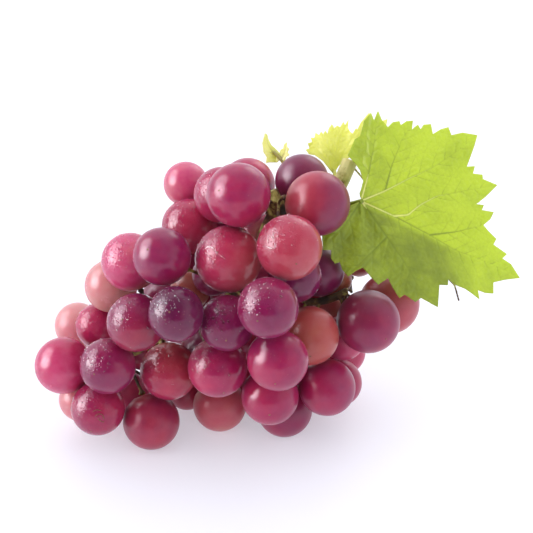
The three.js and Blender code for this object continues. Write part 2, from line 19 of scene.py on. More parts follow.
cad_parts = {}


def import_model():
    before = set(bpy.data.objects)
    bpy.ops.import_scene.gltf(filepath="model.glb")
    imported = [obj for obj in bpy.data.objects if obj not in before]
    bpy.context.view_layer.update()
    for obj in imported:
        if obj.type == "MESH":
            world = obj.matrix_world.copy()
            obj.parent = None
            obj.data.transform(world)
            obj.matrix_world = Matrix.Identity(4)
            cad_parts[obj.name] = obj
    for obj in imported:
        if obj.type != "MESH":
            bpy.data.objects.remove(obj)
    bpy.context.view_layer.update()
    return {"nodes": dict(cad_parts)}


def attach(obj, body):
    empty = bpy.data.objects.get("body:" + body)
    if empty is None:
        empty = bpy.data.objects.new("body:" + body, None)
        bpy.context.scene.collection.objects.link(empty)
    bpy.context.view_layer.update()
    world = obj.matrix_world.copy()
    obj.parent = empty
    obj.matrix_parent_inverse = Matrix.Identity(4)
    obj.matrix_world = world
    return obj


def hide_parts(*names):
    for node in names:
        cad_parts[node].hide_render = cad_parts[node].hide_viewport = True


LOG = logging.getLogger("grapes")
MM = 0.001
BODY = "root"
FIRST_INNER = 61

# Fitting a ball to the corners of a berry: what lies on the floor, rounds, and share off the ball
FLOOR_BAND = 0.1 * MM
FIT_ROUNDS = 4
FIT_SHARE = 0.02

# Step along a line in the 533 frame that becomes a strand on a berry
STRAND_STEP = 2.0

# Berries deep inside: place and radius in millimetres, then ripeness
INNER = [
    (-11.6, 12.1, 30.0, 8.8, 0.50), (-9.4, 16.6, 78.5, 7.2, 0.30), (-37.1, 27.3, 58.7, 8.1, 0.60),
    (-28.9, 26.9, 38.4, 8.9, 0.60), (-8.3, -5.1, 69.2, 5.6, 0.40), (7.1, 2.5, 52.4, 3.0, 0.50),
    (14.2, 37.0, 37.5, 9.1, 0.80),
]

# Where the dry scar of the flower shows on a seen berry: column and row in the 533 frame
SCARS = {
    10: (147.5, 249.3), 16: (257.5, 321.0), 34: (269.5, 415.0), 24: (223.8, 393.0),
    31: (162.5, 445.0), 27: (386.0, 339.0),
}

# Berries without drops whose skin is rubbed, and how far that shine goes towards a wet one
POLISHED = (1, 3, 4, 10, 12, 21, 25, 34)
RUBBED_SHINE = 0.55

# Runs of water on two berries and the russet lines on one, as places in the 533 frame
RUNS = {
    7: [
        [(268.5, 236), (268.2, 243)], [(273.5, 233.5), (273.8, 241), (276.5, 248)],
        [(266, 246.5), (273, 249)],
    ],
    8: [
        [(204.5, 249.5), (208, 247), (212, 247.3), (216, 252), (219.5, 257)],
        [(205, 253), (211, 257), (215.5, 266)],
    ],
}
RUSSET = {
    30: [
        [(93, 411.5), (97, 409.5), (101.5, 411)], [(95, 416), (99, 413.5), (103, 415), (104, 419)],
        [(98, 418), (100.5, 421.5), (104, 422)],
    ],
}

# Berries wet with fine drops, and how many drops each has at most
WET = {
    7: 80, 8: 90, 11: 70, 14: 170, 15: 170, 16: 110, 13: 50, 20: 40, 22: 90, 23: 90, 24: 80,
    9: 30, 17: 20, 2: 20, 30: 12,
}


def linear(code: str) -> tuple[float, float, float, float]:
    """Scene-linear colour of a hex code."""
    parts = [int(code[i:i + 2], 16) / 255 for i in (1, 3, 5)]
    return (*[c / 12.92 if c <= 0.04045 else ((c + 0.055) / 1.055) ** 2.4 for c in parts], 1.0)


def smooth_step(values: np.ndarray) -> np.ndarray:
    """Values clamped to 0 to 1 with soft ends."""
    held = np.clip(values, 0, 1)
    return held * held * (3 - 2 * held)


@dataclass(frozen=True)
class Blush:
    """Colour of one berry, and how it changes towards one side as seen from the front.

    Ripeness runs from 0, pale rose, to 1, dark purple. Warmth turns it towards amber.
    The change towards one side is partly the berry's own colour and partly painted light:
    a painted glow, or painted shade where the amounts are negative.
    """

    ripeness: float
    warmth: float = 0.0
    right: float = 0.0
    up: float = 0.0
    paler_with_painted_light: float = 0.0
    warmer_with_painted_light: float = 0.0


# Colour of each seen berry: ripeness, warmth, then right and up as seen from the front for the side
# that is paler and warmer by how much. That side is the berry's own colour mixed with painted
# light: a painted glow, or painted shade where the amounts are negative.
BLUSHES = {
    1: Blush(0.31), 2: Blush(0.50), 3: Blush(0.58, 0, 0.2, -1, 0.06, 0.08), 4: Blush(0.55),
    5: Blush(0.84, 0.1, 1, -0.3, 0, 0.2), 6: Blush(0.70, 0.2, -1, 0.1, 0.30, 0.3),
    7: Blush(0.47, 0.30, 0.6, -0.6, 0.05, 0.25), 8: Blush(0.50, 0.1, 1, -0.3, 0.08, 0.5),
    9: Blush(0.54, 0.1, 0.5, -1, 0.12, 0.1), 10: Blush(0.67), 11: Blush(0.36),
    12: Blush(0.12, 0.2, 0.6, -0.8, -0.02, 0.15), 13: Blush(0.68, 0.1, 0.5, -1, 0.08, 0.3),
    14: Blush(0.96, 0, 0, -1, 0.06, 0), 15: Blush(0.77), 16: Blush(0.72), 17: Blush(0.86),
    18: Blush(0.90, 0.1), 19: Blush(0.08, 0.05, 0.4, -1, -0.10), 20: Blush(0.46), 21: Blush(0.40),
    22: Blush(0.69), 23: Blush(0.56, 0.2, 0.7, 0.7, 0.06, 0.4), 24: Blush(0.53, 0, 0.8, 0, -0.03),
    25: Blush(0.59), 26: Blush(0.42, 0.8), 27: Blush(0.62, 0.1, -0.4, 0.9, -0.20, 0.35),
    28: Blush(0.38, 0.5), 29: Blush(0.10, 0.1), 30: Blush(0.58, 0.1), 31: Blush(0.62, 0.25),
    32: Blush(0.52, 0.3), 33: Blush(0.36, 0.5), 34: Blush(0.57), 35: Blush(0.64, 0.1),
    36: Blush(0.60), 37: Blush(0.57), 38: Blush(0.38), 39: Blush(0.20, 0.2), 40: Blush(0.36, 0.9),
    41: Blush(0.70), 42: Blush(0.30, 0.5), 43: Blush(0.36, 0.9), 44: Blush(0.34), 52: Blush(0.70),
}


@dataclass(frozen=True)
class Viewpoint:
    """Where the bunch is seen from, and how a place in the 533 frame becomes a point."""

    frame: float = 533.0
    focal: float = 1247.79
    distance: float = 500 * MM
    elevation: float = math.radians(28)
    aim: tuple[float, float, float] = (-5.0252 * MM, 13.9881 * MM, 63.5 * MM)

    @property
    def forward(self) -> Vector:
        """Direction of sight."""
        return Vector((0, math.cos(self.elevation), -math.sin(self.elevation)))

    @property
    def upward(self) -> Vector:
        """Direction that shows as up."""
        return Vector((0, math.sin(self.elevation), math.cos(self.elevation)))

    @property
    def right(self) -> Vector:
        """Direction that shows as right."""
        return Vector((1, 0, 0))

    def spot(self, column: float, row: float, depth: float) -> Vector:
        """Point seen at a place in the frame.

        Args:
            column: Place across the frame.
            row: Place down the frame.
            depth: Metres behind the point that is aimed at.

        Returns:
            The point in the part's frame.
        """
        reach = (self.distance + depth) / self.focal
        middle = self.frame / 2
        return (
            Vector(self.aim) + self.forward * depth
            + self.right * (column - middle) * reach - self.upward * (row - middle) * reach
        )

    def scale_at(self, depth: float) -> float:
        """Metres to one unit of the frame at a depth."""
        return (self.distance + depth) / self.focal

    def on_ball(self, centre: Vector, radius: float, column: float, row: float) -> Vector:
        """Direction from a ball's centre to the place on it that shows in the frame.

        Args:
            centre: The ball's centre.
            radius: Its radius.
            column: Place across the frame.
            row: Place down the frame.

        Returns:
            The direction, of length 1.
        """
        eye = Vector(self.aim) - self.forward * self.distance
        ray = (self.spot(column, row, 0) - eye).normalized()
        offset = eye - centre
        half = offset.dot(ray)
        inside = half * half - offset.length_squared + radius * radius
        reach = -half - math.sqrt(max(inside, 0))
        return (eye + ray * reach - centre).normalized()


VIEW = Viewpoint()
ABOVE = Vector((0, 0, 1))
WET_SIDE = (VIEW.upward * 0.55 - VIEW.right * 0.45 - VIEW.forward * 0.7).normalized()


def deselect_all() -> None:
    """Leave object mode with nothing selected."""
    if bpy.context.object and bpy.context.object.mode != "OBJECT":
        bpy.ops.object.mode_set(mode="OBJECT")
    bpy.ops.object.select_all(action="DESELECT")


def pick(piece: bpy.types.Object) -> None:
    """Make one piece the only selected and the active one."""
    deselect_all()
    piece.select_set(True)
    bpy.context.view_layer.objects.active = piece


@contextmanager
def editing(selection: str) -> Iterator[None]:
    """Stay in edit mode on the active piece, at first with all selected or nothing."""
    bpy.ops.object.mode_set(mode="EDIT")
    bpy.ops.mesh.select_all(action=selection)
    yield
    bpy.ops.object.mode_set(mode="OBJECT")


def apply_modifier(piece: bpy.types.Object, kind: str, **settings: object) -> None:
    """Add a modifier to a piece with these settings and apply it.

    Args:
        piece: The piece to change.
        kind: Blender's name of the modifier's type.
        settings: Values of the modifier.
    """
    pick(piece)
    modifier = piece.modifiers.new(kind.title(), kind)
    for name, value in settings.items():
        setattr(modifier, name, value)
    bpy.ops.object.modifier_apply(modifier=modifier.name)


def new_piece(name: str, mesh: bpy.types.Mesh | bpy.types.Curve) -> bpy.types.Object:
    """New object in the scene that holds a mesh or a curve."""
    piece = bpy.data.objects.new(name, mesh)
    bpy.context.scene.collection.objects.link(piece)
    return piece


def copy_onto(name: str, mesh: bpy.types.Mesh, spot: Vector, outward: Vector,
              sizes: tuple[float, float, float]) -> bpy.types.Object:
    """Copy a mesh to a spot.

    Args:
        name: Name of the copy.
        mesh: The mesh, modelled round the origin.
        spot: Where its origin goes.
        outward: Direction that its top turns to.
        sizes: How much it grows along each of its own axes.

    Returns:
        The copy.
    """
    turn = ABOVE.rotation_difference(outward).to_matrix().to_4x4()
    copy = new_piece(name, mesh.copy())
    copy.data.transform(Matrix.Translation(spot) @ turn @ Matrix.Diagonal((*sizes, 1)))
    return copy


def join(pieces: list[bpy.types.Object]) -> bpy.types.Object:
    """Join pieces into the first of them."""
    deselect_all()
    for piece in pieces:
        piece.select_set(True)
    bpy.context.view_layer.objects.active = pieces[0]
    bpy.ops.object.join()
    return bpy.context.object


def dress(piece: bpy.types.Object, finish: bpy.types.Material) -> None:
    """Give a piece one finish in place of what it has."""
    piece.data.materials.clear()
    piece.data.materials.append(finish)


def evenly(line: list[tuple[float, float]], step: float) -> np.ndarray:
    """Points along a line.

    Args:
        line: Corners of the line.
        step: Distance from point to point, about.

    Returns:
        The points, one row each, from its start to its end.
    """
    corners = np.array(line, float)
    lengths = np.r_[0, np.cumsum(np.linalg.norm(np.diff(corners, axis=0), axis=1))]
    count = max(int(lengths[-1] / step), 1) + 1
    at = np.linspace(0, lengths[-1], count)
    return np.c_[np.interp(at, lengths, corners[:, 0]), np.interp(at, lengths, corners[:, 1])]


def round_stem(name: str, points: list[Vector], radius: float) -> bpy.types.Object:
    """Round stem with closed ends.

    Args:
        name: Name of the stem.
        points: Points that it runs along.
        radius: Its radius.

    Returns:
        The stem as a mesh.
    """
    curve = bpy.data.curves.new(name, "CURVE")
    curve.dimensions = "3D"
    curve.bevel_depth = radius
    curve.bevel_resolution = 3
    curve.use_fill_caps = True
    spline = curve.splines.new("NURBS")
    spline.points.add(len(points) - 1)
    for knot, point in zip(spline.points, points):
        knot.co = (*point, 1)
    spline.order_u = 3
    spline.use_endpoint_u = True
    spline.resolution_u = 8
    pick(new_piece(name, curve))
    bpy.ops.object.convert(target="MESH")
    bpy.ops.object.shade_smooth()
    return bpy.context.object


def mount(piece: bpy.types.Object, slot: str | None, *nodes: str) -> None:
    """Let a piece ride on the bunch and stand for CAD nodes.

    Args:
        piece: The finished piece.
        slot: Name of the material slot that the piece takes its finish from, if it has one; not
            used.
        nodes: Names of the CAD nodes that it stands for.
    """
    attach(piece, BODY)
    if nodes:
        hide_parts(*nodes)
    LOG.info("%s: %d faces", piece.name, len(piece.data.polygons))


def set_value(mesh: bpy.types.Mesh, name: str, values: np.ndarray) -> None:
    """Store one number for each vertex of a mesh."""
    attribute = mesh.attributes.get(name) or mesh.attributes.new(name, "FLOAT", "POINT")
    attribute.data.foreach_set("value", values.astype(np.float32))


def places_of(mesh: bpy.types.Mesh) -> np.ndarray:
    """Vertex places of a mesh, one row each."""
    places = np.zeros(len(mesh.vertices) * 3, np.float32)
    mesh.vertices.foreach_get("co", places)
    return places.reshape(-1, 3).astype(float)


def joined_copy(name: str, node: str) -> bpy.types.Object:
    """Copy of a CAD node whose loose triangles are joined at their corners."""
    piece = new_piece(name, bpy.data.objects[node].data.copy())
    pick(piece)
    with editing("SELECT"):
        bpy.ops.mesh.remove_doubles(threshold=0.01 * MM)
    return piece


class NodeSheet:
    """Adds shader nodes to a tree and links them."""

    def __init__(self, tree: bpy.types.NodeTree) -> None:
        """Start on a tree."""
        self.tree = tree

    def add(self, kind: str, inputs: dict | None = None, **settings: object) -> bpy.types.Node:
        """Add a node.

        Args:
            kind: Blender's type name, without its ShaderNode prefix where it has that.
            inputs: Value or output socket for each input, by name or number.
            settings: Values of the node's own settings.

        Returns:
            The new node.
        """
        full = kind if kind.startswith("Node") else "ShaderNode" + kind
        node = self.tree.nodes.new(full)
        for name, value in settings.items():
            setattr(node, name, value)
        for name, value in (inputs or {}).items():
            if isinstance(value, bpy.types.NodeSocket):
                self.tree.links.new(value, node.inputs[name])
            else:
                node.inputs[name].default_value = value
        return node

    def link(self, value: bpy.types.NodeSocket, socket: bpy.types.NodeSocket) -> None:
        """Feed a value into a socket."""
        self.tree.links.new(value, socket)

    def attribute(self, name: str) -> bpy.types.NodeSocket:
        """Number that the piece stores at each vertex under a name."""
        return self.add("Attribute", attribute_name=name).outputs["Fac"]

    def noise(self, place: bpy.types.NodeSocket, scale: object, **more: float) -> object:
        """Cloudy value at a place."""
        inputs = {"Vector": place, "Scale": scale}
        inputs.update({name.title(): value for name, value in more.items()})
        return self.add("TexNoise", inputs).outputs[0]

    def math(self, operation: str, first: object, second: object = 0.0) -> bpy.types.NodeSocket:
        """Result of a sum on one or two values."""
        return self.add("Math", {0: first, 1: second}, operation=operation).outputs[0]

    def mix(self, share: object, first: object, second: object) -> bpy.types.NodeSocket:
        """Colour between two colours."""
        return self.add(
            "Mix", {0: share, 6: first, 7: second}, data_type="RGBA",
        ).outputs[2]

    def span(self, value: object, low: float, high: float, start: float = 0.0,
             end: float = 1.0) -> bpy.types.NodeSocket:
        """Value moved from one range to another and held in it."""
        return self.add("MapRange", {0: value, 1: low, 2: high, 3: start, 4: end}).outputs[0]

    def ramp(self, value: object, stops: list[tuple[float, str]]) -> bpy.types.NodeSocket:
        """Colour for a value between the colours of some stops."""
        node = self.add("ValToRGB", {0: value})
        elements = node.color_ramp.elements
        while len(elements) < len(stops):
            elements.new(0.5)
        for element, (place, code) in zip(elements, stops):
            element.position = place
            element.color = linear(code)
        return node.outputs[0]


def set_sockets(node: bpy.types.Node, values: dict[str, object]) -> None:
    """Set constants on a node's own input sockets."""
    for name, value in values.items():
        node.inputs[name].default_value = value


def new_group(name: str, inputs: dict[str, tuple[str, float]],
              outputs: dict[str, str]) -> tuple[NodeSheet, bpy.types.Node, bpy.types.Node]:
    """Start a shader node group.

    Args:
        name: Name of the group.
        inputs: Socket type and first value of each input.
        outputs: Socket type of each output.

    Returns:
        The sheet of the group, its input node and its output node.
    """
    tree = bpy.data.node_groups.new(name, "ShaderNodeTree")
    for label, (kind, value) in inputs.items():
        socket = tree.interface.new_socket(label, in_out="INPUT", socket_type="NodeSocket" + kind)
        if kind == "Float":
            socket.default_value = value
    for label, kind in outputs.items():
        tree.interface.new_socket(label, in_out="OUTPUT", socket_type="NodeSocket" + kind)
    sheet = NodeSheet(tree)
    return sheet, sheet.add("NodeGroupInput"), sheet.add("NodeGroupOutput")


def new_material(name: str) -> tuple[bpy.types.Material, NodeSheet, bpy.types.Node]:
    """Material with nothing but a Principled shader, its sheet and that shader."""
    material = bpy.data.materials.new(name)
    material.use_nodes = True
    return material, NodeSheet(material.node_tree), material.node_tree.nodes["Principled BSDF"]


def mottle_group() -> bpy.types.NodeTree:
    """Soft cloudy patches in two sizes, as a value round 0."""
    sheet, enter, leave = new_group(
        "mottle", {"Place": ("Vector", 0), "Scale": ("Float", 120), "Strength": ("Float", 0.1)},
        {"Value": "Float"},
    )
    place = enter.outputs["Place"]
    scale = enter.outputs["Scale"]
    broad = sheet.noise(place, scale, detail=2.0, roughness=0.5)
    fine = sheet.noise(place, sheet.math("MULTIPLY", scale, 4.5), detail=3.0, roughness=0.6)
    both = sheet.math("ADD", broad, sheet.math("MULTIPLY", fine, 0.4))
    centred = sheet.math("SUBTRACT", both, 0.7)
    scaled = sheet.math("MULTIPLY", centred, enter.outputs["Strength"])
    sheet.link(scaled, leave.inputs["Value"])
    return sheet.tree


def speck_group() -> bpy.types.NodeTree:
    """Scattered small round specks, as a mask."""
    sheet, enter, leave = new_group(
        "specks", {"Place": ("Vector", 0), "Scale": ("Float", 900), "Size": ("Float", 0.2)},
        {"Mask": "Float"},
    )
    cells = sheet.add("TexVoronoi", {
        "Vector": enter.outputs["Place"], "Scale": enter.outputs["Scale"],
    })
    near = sheet.math("SUBTRACT", enter.outputs["Size"], cells.outputs["Distance"])
    soft = sheet.span(near, 0.0, 0.12)
    drawn = sheet.add("SeparateColor", {0: cells.outputs["Color"]}).outputs[0]
    some = sheet.math("GREATER_THAN", drawn, 0.62)
    sheet.link(sheet.math("MULTIPLY", soft, some), leave.inputs["Mask"])
    return sheet.tree


def ripening_group() -> bpy.types.NodeTree:
    """Colour of the skin and flesh for a ripeness and a warmth from 0 to 1."""
    sheet, enter, leave = new_group(
        "ripening", {"Ripeness": ("Float", 0.5), "Warmth": ("Float", 0.0)}, {"Color": "Color"},
    )
    cool = sheet.ramp(enter.outputs["Ripeness"], [
        (0.0, "#d09a98"), (0.20, "#c96e7c"), (0.34, "#c04570"), (0.45, "#b02655"),
        (0.55, "#9e1b4d"), (0.66, "#861549"), (0.80, "#741445"), (1.0, "#500d36"),
    ])
    warm = sheet.ramp(enter.outputs["Ripeness"], [
        (0.0, "#cf9c80"), (0.35, "#a4573f"), (0.50, "#9a3c28"), (0.66, "#7a2c26"), (1.0, "#4a1a1c"),
    ])
    share = sheet.span(enter.outputs["Warmth"], 0.0, 1.0)
    sheet.link(sheet.mix(share, cool, warm), leave.inputs["Color"])
    return sheet.tree


@dataclass(frozen=True)
class SharedEffects:
    """Node groups that more than one finish uses."""

    mottle: bpy.types.NodeTree
    specks: bpy.types.NodeTree
    ripening: bpy.types.NodeTree

    @classmethod
    def build(cls) -> "SharedEffects":
        """Make every group once."""
        return cls(mottle_group(), speck_group(), ripening_group())


class Tint(Enum):
    """Material slots of the berries, with the numbers of those that aren't crimson."""

    AMBER = ("berry_amber", (12, 19, 26, 33, 42, 43))
    PINK = ("berry_pink", (1, 4, 7, 21, 29, 40))
    PURPLE = ("berry_purple", (5, 14, 15, 17, 18, 20, 32, 41))
    CRIMSON = ("berry_crimson", ())

    @property
    def slot(self) -> str:
        """Name of the material slot."""
        return self.value[0]

    @classmethod
    def of_berry(cls, number: int) -> "Tint":
        """Slot that a berry of this number belongs to."""
        return next((tint for tint in cls if number in tint.value[1]), cls.CRIMSON)


@dataclass(frozen=True)
class GrapeSkin:
    """Thin glossy skin over clear flesh, with a pale bloom."""

    name: str
    patchiness: float
    roughness: float
    wet_roughness: float
    bloom: float
    glow: float
    patch_scale: float = 60.0
    bloom_scale: float = 130.0
    ripple_scale: float = 260.0
    film_scale: float = 480.0
    speck_scale: float = 620.0
    bead_scale: float = 1250.0
    speck_size: float = 0.16
    speck_share: float = 0.30
    ripple_height: float = 0.25 * MM
    bead_height: float = 0.18 * MM
    flesh_reach: float = 3.2 * MM

    def colour(self, sheet: NodeSheet, effects: SharedEffects, place: bpy.types.NodeSocket,
               bloom: bpy.types.NodeSocket) -> bpy.types.NodeSocket:
        """Colour from the ripeness and warmth of the berry, with patches, haze and specks.

        Args:
            sheet: The material's nodes.
            effects: The shared node groups.
            place: Where on the berry.
            bloom: How thick the bloom is.

        Returns:
            The colour.
        """
        patches = sheet.add("Group", {
            "Place": place, "Scale": self.patch_scale, "Strength": self.patchiness,
        }, node_tree=effects.mottle).outputs["Value"]
        cooler = sheet.math("MULTIPLY", patches, -0.8)
        tinted = sheet.add("Group", {
            "Ripeness": sheet.math("ADD", sheet.attribute("ripeness"), patches),
            "Warmth": sheet.math("ADD", sheet.attribute("warmth"), cooler),
        }, node_tree=effects.ripening).outputs["Color"]
        specks = sheet.add("Group", {
            "Place": place, "Scale": self.speck_scale, "Size": self.speck_size,
        }, node_tree=effects.specks).outputs["Mask"]
        hazy = sheet.span(bloom, 0.40, 0.75, 0.0, self.bloom)
        bloomed = sheet.mix(hazy, tinted, linear("#b48aa6"))
        spotted = sheet.math("MULTIPLY", specks, self.speck_share)
        return sheet.mix(spotted, bloomed, linear("#b06a60"))

    def relief(self, sheet: NodeSheet, place: bpy.types.NodeSocket) -> bpy.types.NodeSocket:
        """Normal of a faintly rippled skin, with a beaded film of water on its wet side."""
        wet = sheet.attribute("wet")
        cells = sheet.add("TexVoronoi", {"Vector": place, "Scale": self.bead_scale})
        near = sheet.span(cells.outputs["Distance"], 0.12, 0.46, 1.0, 0.0)
        drawn = sheet.add("SeparateColor", {0: cells.outputs["Color"]}).outputs[0]
        chosen = sheet.span(drawn, 0.35, 0.5)
        beads = sheet.math("MULTIPLY", sheet.math("MULTIPLY", near, chosen), wet)
        clouds = sheet.noise(place, self.film_scale, detail=3.0, distortion=0.8)
        film = sheet.math("MULTIPLY", wet, clouds)
        rippled = sheet.add("Bump", {
            "Strength": 0.10, "Distance": self.ripple_height,
            "Height": sheet.noise(place, self.ripple_scale, detail=2.0),
        }).outputs[0]
        return sheet.add("Bump", {
            "Strength": 0.60, "Distance": self.bead_height,
            "Height": sheet.math("ADD", beads, film), "Normal": rippled,
        }).outputs[0]

    def material(self, effects: SharedEffects) -> bpy.types.Material:
        """Make the material, which reads the attributes ripeness, warmth, wet and washed.

        Args:
            effects: The shared node groups.

        Returns:
            The material.
        """
        material, sheet, skin = new_material(self.name)
        place = sheet.add("TexCoord").outputs["Object"]
        bloom = sheet.noise(place, self.bloom_scale, detail=4.0, roughness=0.6)
        dulled = sheet.span(bloom, 0.3, 0.8, -0.03, 0.06)
        smooth = sheet.span(
            sheet.attribute("washed"), 0.0, 1.0, self.roughness, self.wet_roughness,
        )
        sheet.link(self.colour(sheet, effects, place, bloom), skin.inputs["Base Color"])
        sheet.link(sheet.math("ADD", smooth, dulled), skin.inputs["Roughness"])
        sheet.link(self.relief(sheet, place), skin.inputs["Normal"])
        set_sockets(skin, {
            "Subsurface Weight": self.glow, "Subsurface Radius": (1.0, 0.23, 0.33),
            "Subsurface Scale": self.flesh_reach, "IOR": 1.5, "Sheen Weight": 0.05,
            "Sheen Roughness": 0.5, "Sheen Tint": linear("#d9b6dc"),
        })
        return material


@dataclass(frozen=True)
class Bark:
    """Green stem skin that turns brown in patches and at its knots."""

    name: str = "stem_skin"
    pale: str = "#d4cd86"
    green: str = "#aea856"
    brown: str = "#624628"
    dark: str = "#33261a"
    patch_scale: float = 150.0
    patchiness: float = 2.2
    speck_scale: float = 1100.0
    speck_size: float = 0.22
    speck_share: float = 0.55
    grain_scale: float = 1300.0

    def material(self, effects: SharedEffects) -> bpy.types.Material:
        """Make the material, which reads the attribute age."""
        material, sheet, skin = new_material(self.name)
        place = sheet.add("TexCoord").outputs["Object"]
        patches = sheet.add("Group", {
            "Place": place, "Scale": self.patch_scale, "Strength": self.patchiness,
        }, node_tree=effects.mottle).outputs["Value"]
        browned = sheet.math("ADD", sheet.attribute("age"), patches)
        colour = sheet.ramp(browned, [
            (0.0, self.pale), (0.35, self.green), (0.65, self.brown), (1.0, self.dark),
        ])
        specks = sheet.add("Group", {
            "Place": place, "Scale": self.speck_scale, "Size": self.speck_size,
        }, node_tree=effects.specks).outputs["Mask"]
        spotted = sheet.math("MULTIPLY", specks, self.speck_share)
        sheet.link(sheet.mix(spotted, colour, linear(self.dark)), skin.inputs["Base Color"])
        grain = sheet.noise(place, self.grain_scale, detail=4.0)
        bump = sheet.add("Bump", {"Strength": 0.5, "Distance": 0.15 * MM, "Height": grain})
        sheet.link(bump.outputs[0], skin.inputs["Normal"])
        set_sockets(skin, {
            "Roughness": 0.6, "Subsurface Weight": 0.15, "Subsurface Scale": 0.8 * MM,
        })
        return material


@dataclass(frozen=True)
class LeafSkin:
    """Thin leaf that lets light through, with darker and pale veins and a fine net."""

    name: str
    bright: str
    deep: str
    line: str
    vein: str
    glow: float = 0.85
    patch_scale: float = 110.0
    patchiness: float = 0.9
    net_scale: float = 620.0
    net_share: float = 0.10

    def material(self, effects: SharedEffects) -> bpy.types.Material:
        """Make the material, which reads the attributes vein, pale and shade."""
        material, sheet, skin = new_material(self.name)
        place = sheet.add("TexCoord").outputs["Object"]
        patches = sheet.add("Group", {
            "Place": place, "Scale": self.patch_scale, "Strength": self.patchiness,
        }, node_tree=effects.mottle).outputs["Value"]
        depth = sheet.span(sheet.math("ADD", sheet.attribute("shade"), patches), 0.0, 1.0)
        blade = sheet.mix(depth, linear(self.bright), linear(self.deep))
        net = sheet.add(
            "TexVoronoi", {"Vector": place, "Scale": self.net_scale}, feature="DISTANCE_TO_EDGE",
        ).outputs["Distance"]
        thread = sheet.math("MULTIPLY", sheet.span(net, 0.0, 0.12, 1.0, 0.0), self.net_share)
        netted = sheet.mix(thread, blade, linear(self.deep))
        dark = sheet.span(sheet.attribute("vein"), 0.12, 0.9, 0.0, 0.75)
        pale = sheet.span(sheet.attribute("pale"), 0.35, 0.9, 0.0, 0.85)
        lined = sheet.mix(dark, netted, linear(self.line))
        sheet.link(sheet.mix(pale, lined, linear(self.vein)), skin.inputs["Base Color"])
        bump = sheet.add("Bump", {"Strength": 0.35, "Distance": 0.12 * MM, "Height": net})
        sheet.link(bump.outputs[0], skin.inputs["Normal"])
        set_sockets(skin, {
            "Roughness": 0.48, "Subsurface Weight": self.glow,
            "Subsurface Radius": (1.0, 1.0, 0.3), "Subsurface Scale": 1.2 * MM,
        })
        return material


@dataclass(frozen=True)
class WaterSkin:
    """Clear water that glints."""

    name: str = "water"

    def material(self) -> bpy.types.Material:
        """Make the material."""
        material, _, skin = new_material(self.name)
        set_sockets(skin, {
            "Base Color": (1, 1, 1, 1), "Roughness": 0.02, "Transmission Weight": 1.0,
            "IOR": 1.33, "Coat Weight": 1.0, "Coat IOR": 1.55, "Coat Roughness": 0.05,
        })
        return material


@dataclass(frozen=True)
class ScarSkin:
    """Dry brown cork."""

    name: str = "dry_scar"
    dark: str = "#4a2a1e"
    pale: str = "#9a6a4a"
    grain_scale: float = 2600.0

    def material(self) -> bpy.types.Material:
        """Make the material."""
        material, sheet, skin = new_material(self.name)
        place = sheet.add("TexCoord").outputs["Object"]
        grain = sheet.noise(place, self.grain_scale, detail=3.0)
        colour = sheet.ramp(grain, [(0.35, self.dark), (0.65, self.pale)])
        sheet.link(colour, skin.inputs["Base Color"])
        set_sockets(skin, {"Roughness": 0.7})
        return material


@dataclass
class Ball:
    """A berry's place as its CAD node gives it."""

    number: int
    centre: Vector
    radius: float
    stem_end: Vector

    @classmethod
    def of_node(cls, number: int, node: bpy.types.Object) -> "Ball":
        """Read a berry from its CAD node.

        Args:
            number: The berry's number.
            node: Its CAD object, a ball with one pit, and a flat where it lies on the floor.

        Returns:
            The centre, the radius and the direction of the pit.
        """
        places = np.unique(np.round(places_of(node.data), 7), axis=0)
        standing = places[places[:, 2] > FLOOR_BAND]
        kept = standing
        for _ in range(FIT_ROUNDS):
            rows = np.c_[2 * kept, np.ones(len(kept))]
            answer = np.linalg.lstsq(rows, (kept ** 2).sum(1), rcond=None)[0]
            centre = answer[:3]
            radius = math.sqrt(answer[3] + centre @ centre)
            away = np.linalg.norm(standing - centre, axis=1)
            kept = standing[np.abs(away - radius) < FIT_SHARE * radius]
        away = np.linalg.norm(standing - centre, axis=1)
        pit = standing[away.argmin()] - centre
        return cls(number, Vector(centre), radius, Vector(pit).normalized())

    def strand(self, name: str, line: list, radius: float) -> bpy.types.Object:
        """Thin round strand half sunk in the berry, along places in the frame."""
        points = [
            self.centre + VIEW.on_ball(self.centre, self.radius, *spot) * self.radius
            for spot in evenly(line, STRAND_STEP)
        ]
        return round_stem(name, points, radius)


def join_pieces(name: str, pieces: list[bpy.types.Object],
                finish: bpy.types.Material) -> bpy.types.Object:
    """Join pieces into one smooth piece with one finish.

    Args:
        name: Name of the joined piece.
        pieces: The pieces.
        finish: Its material.

    Returns:
        The joined piece.
    """
    joined = join(pieces)
    joined.name = name
    bpy.ops.object.shade_smooth()
    dress(joined, finish)
    return joined


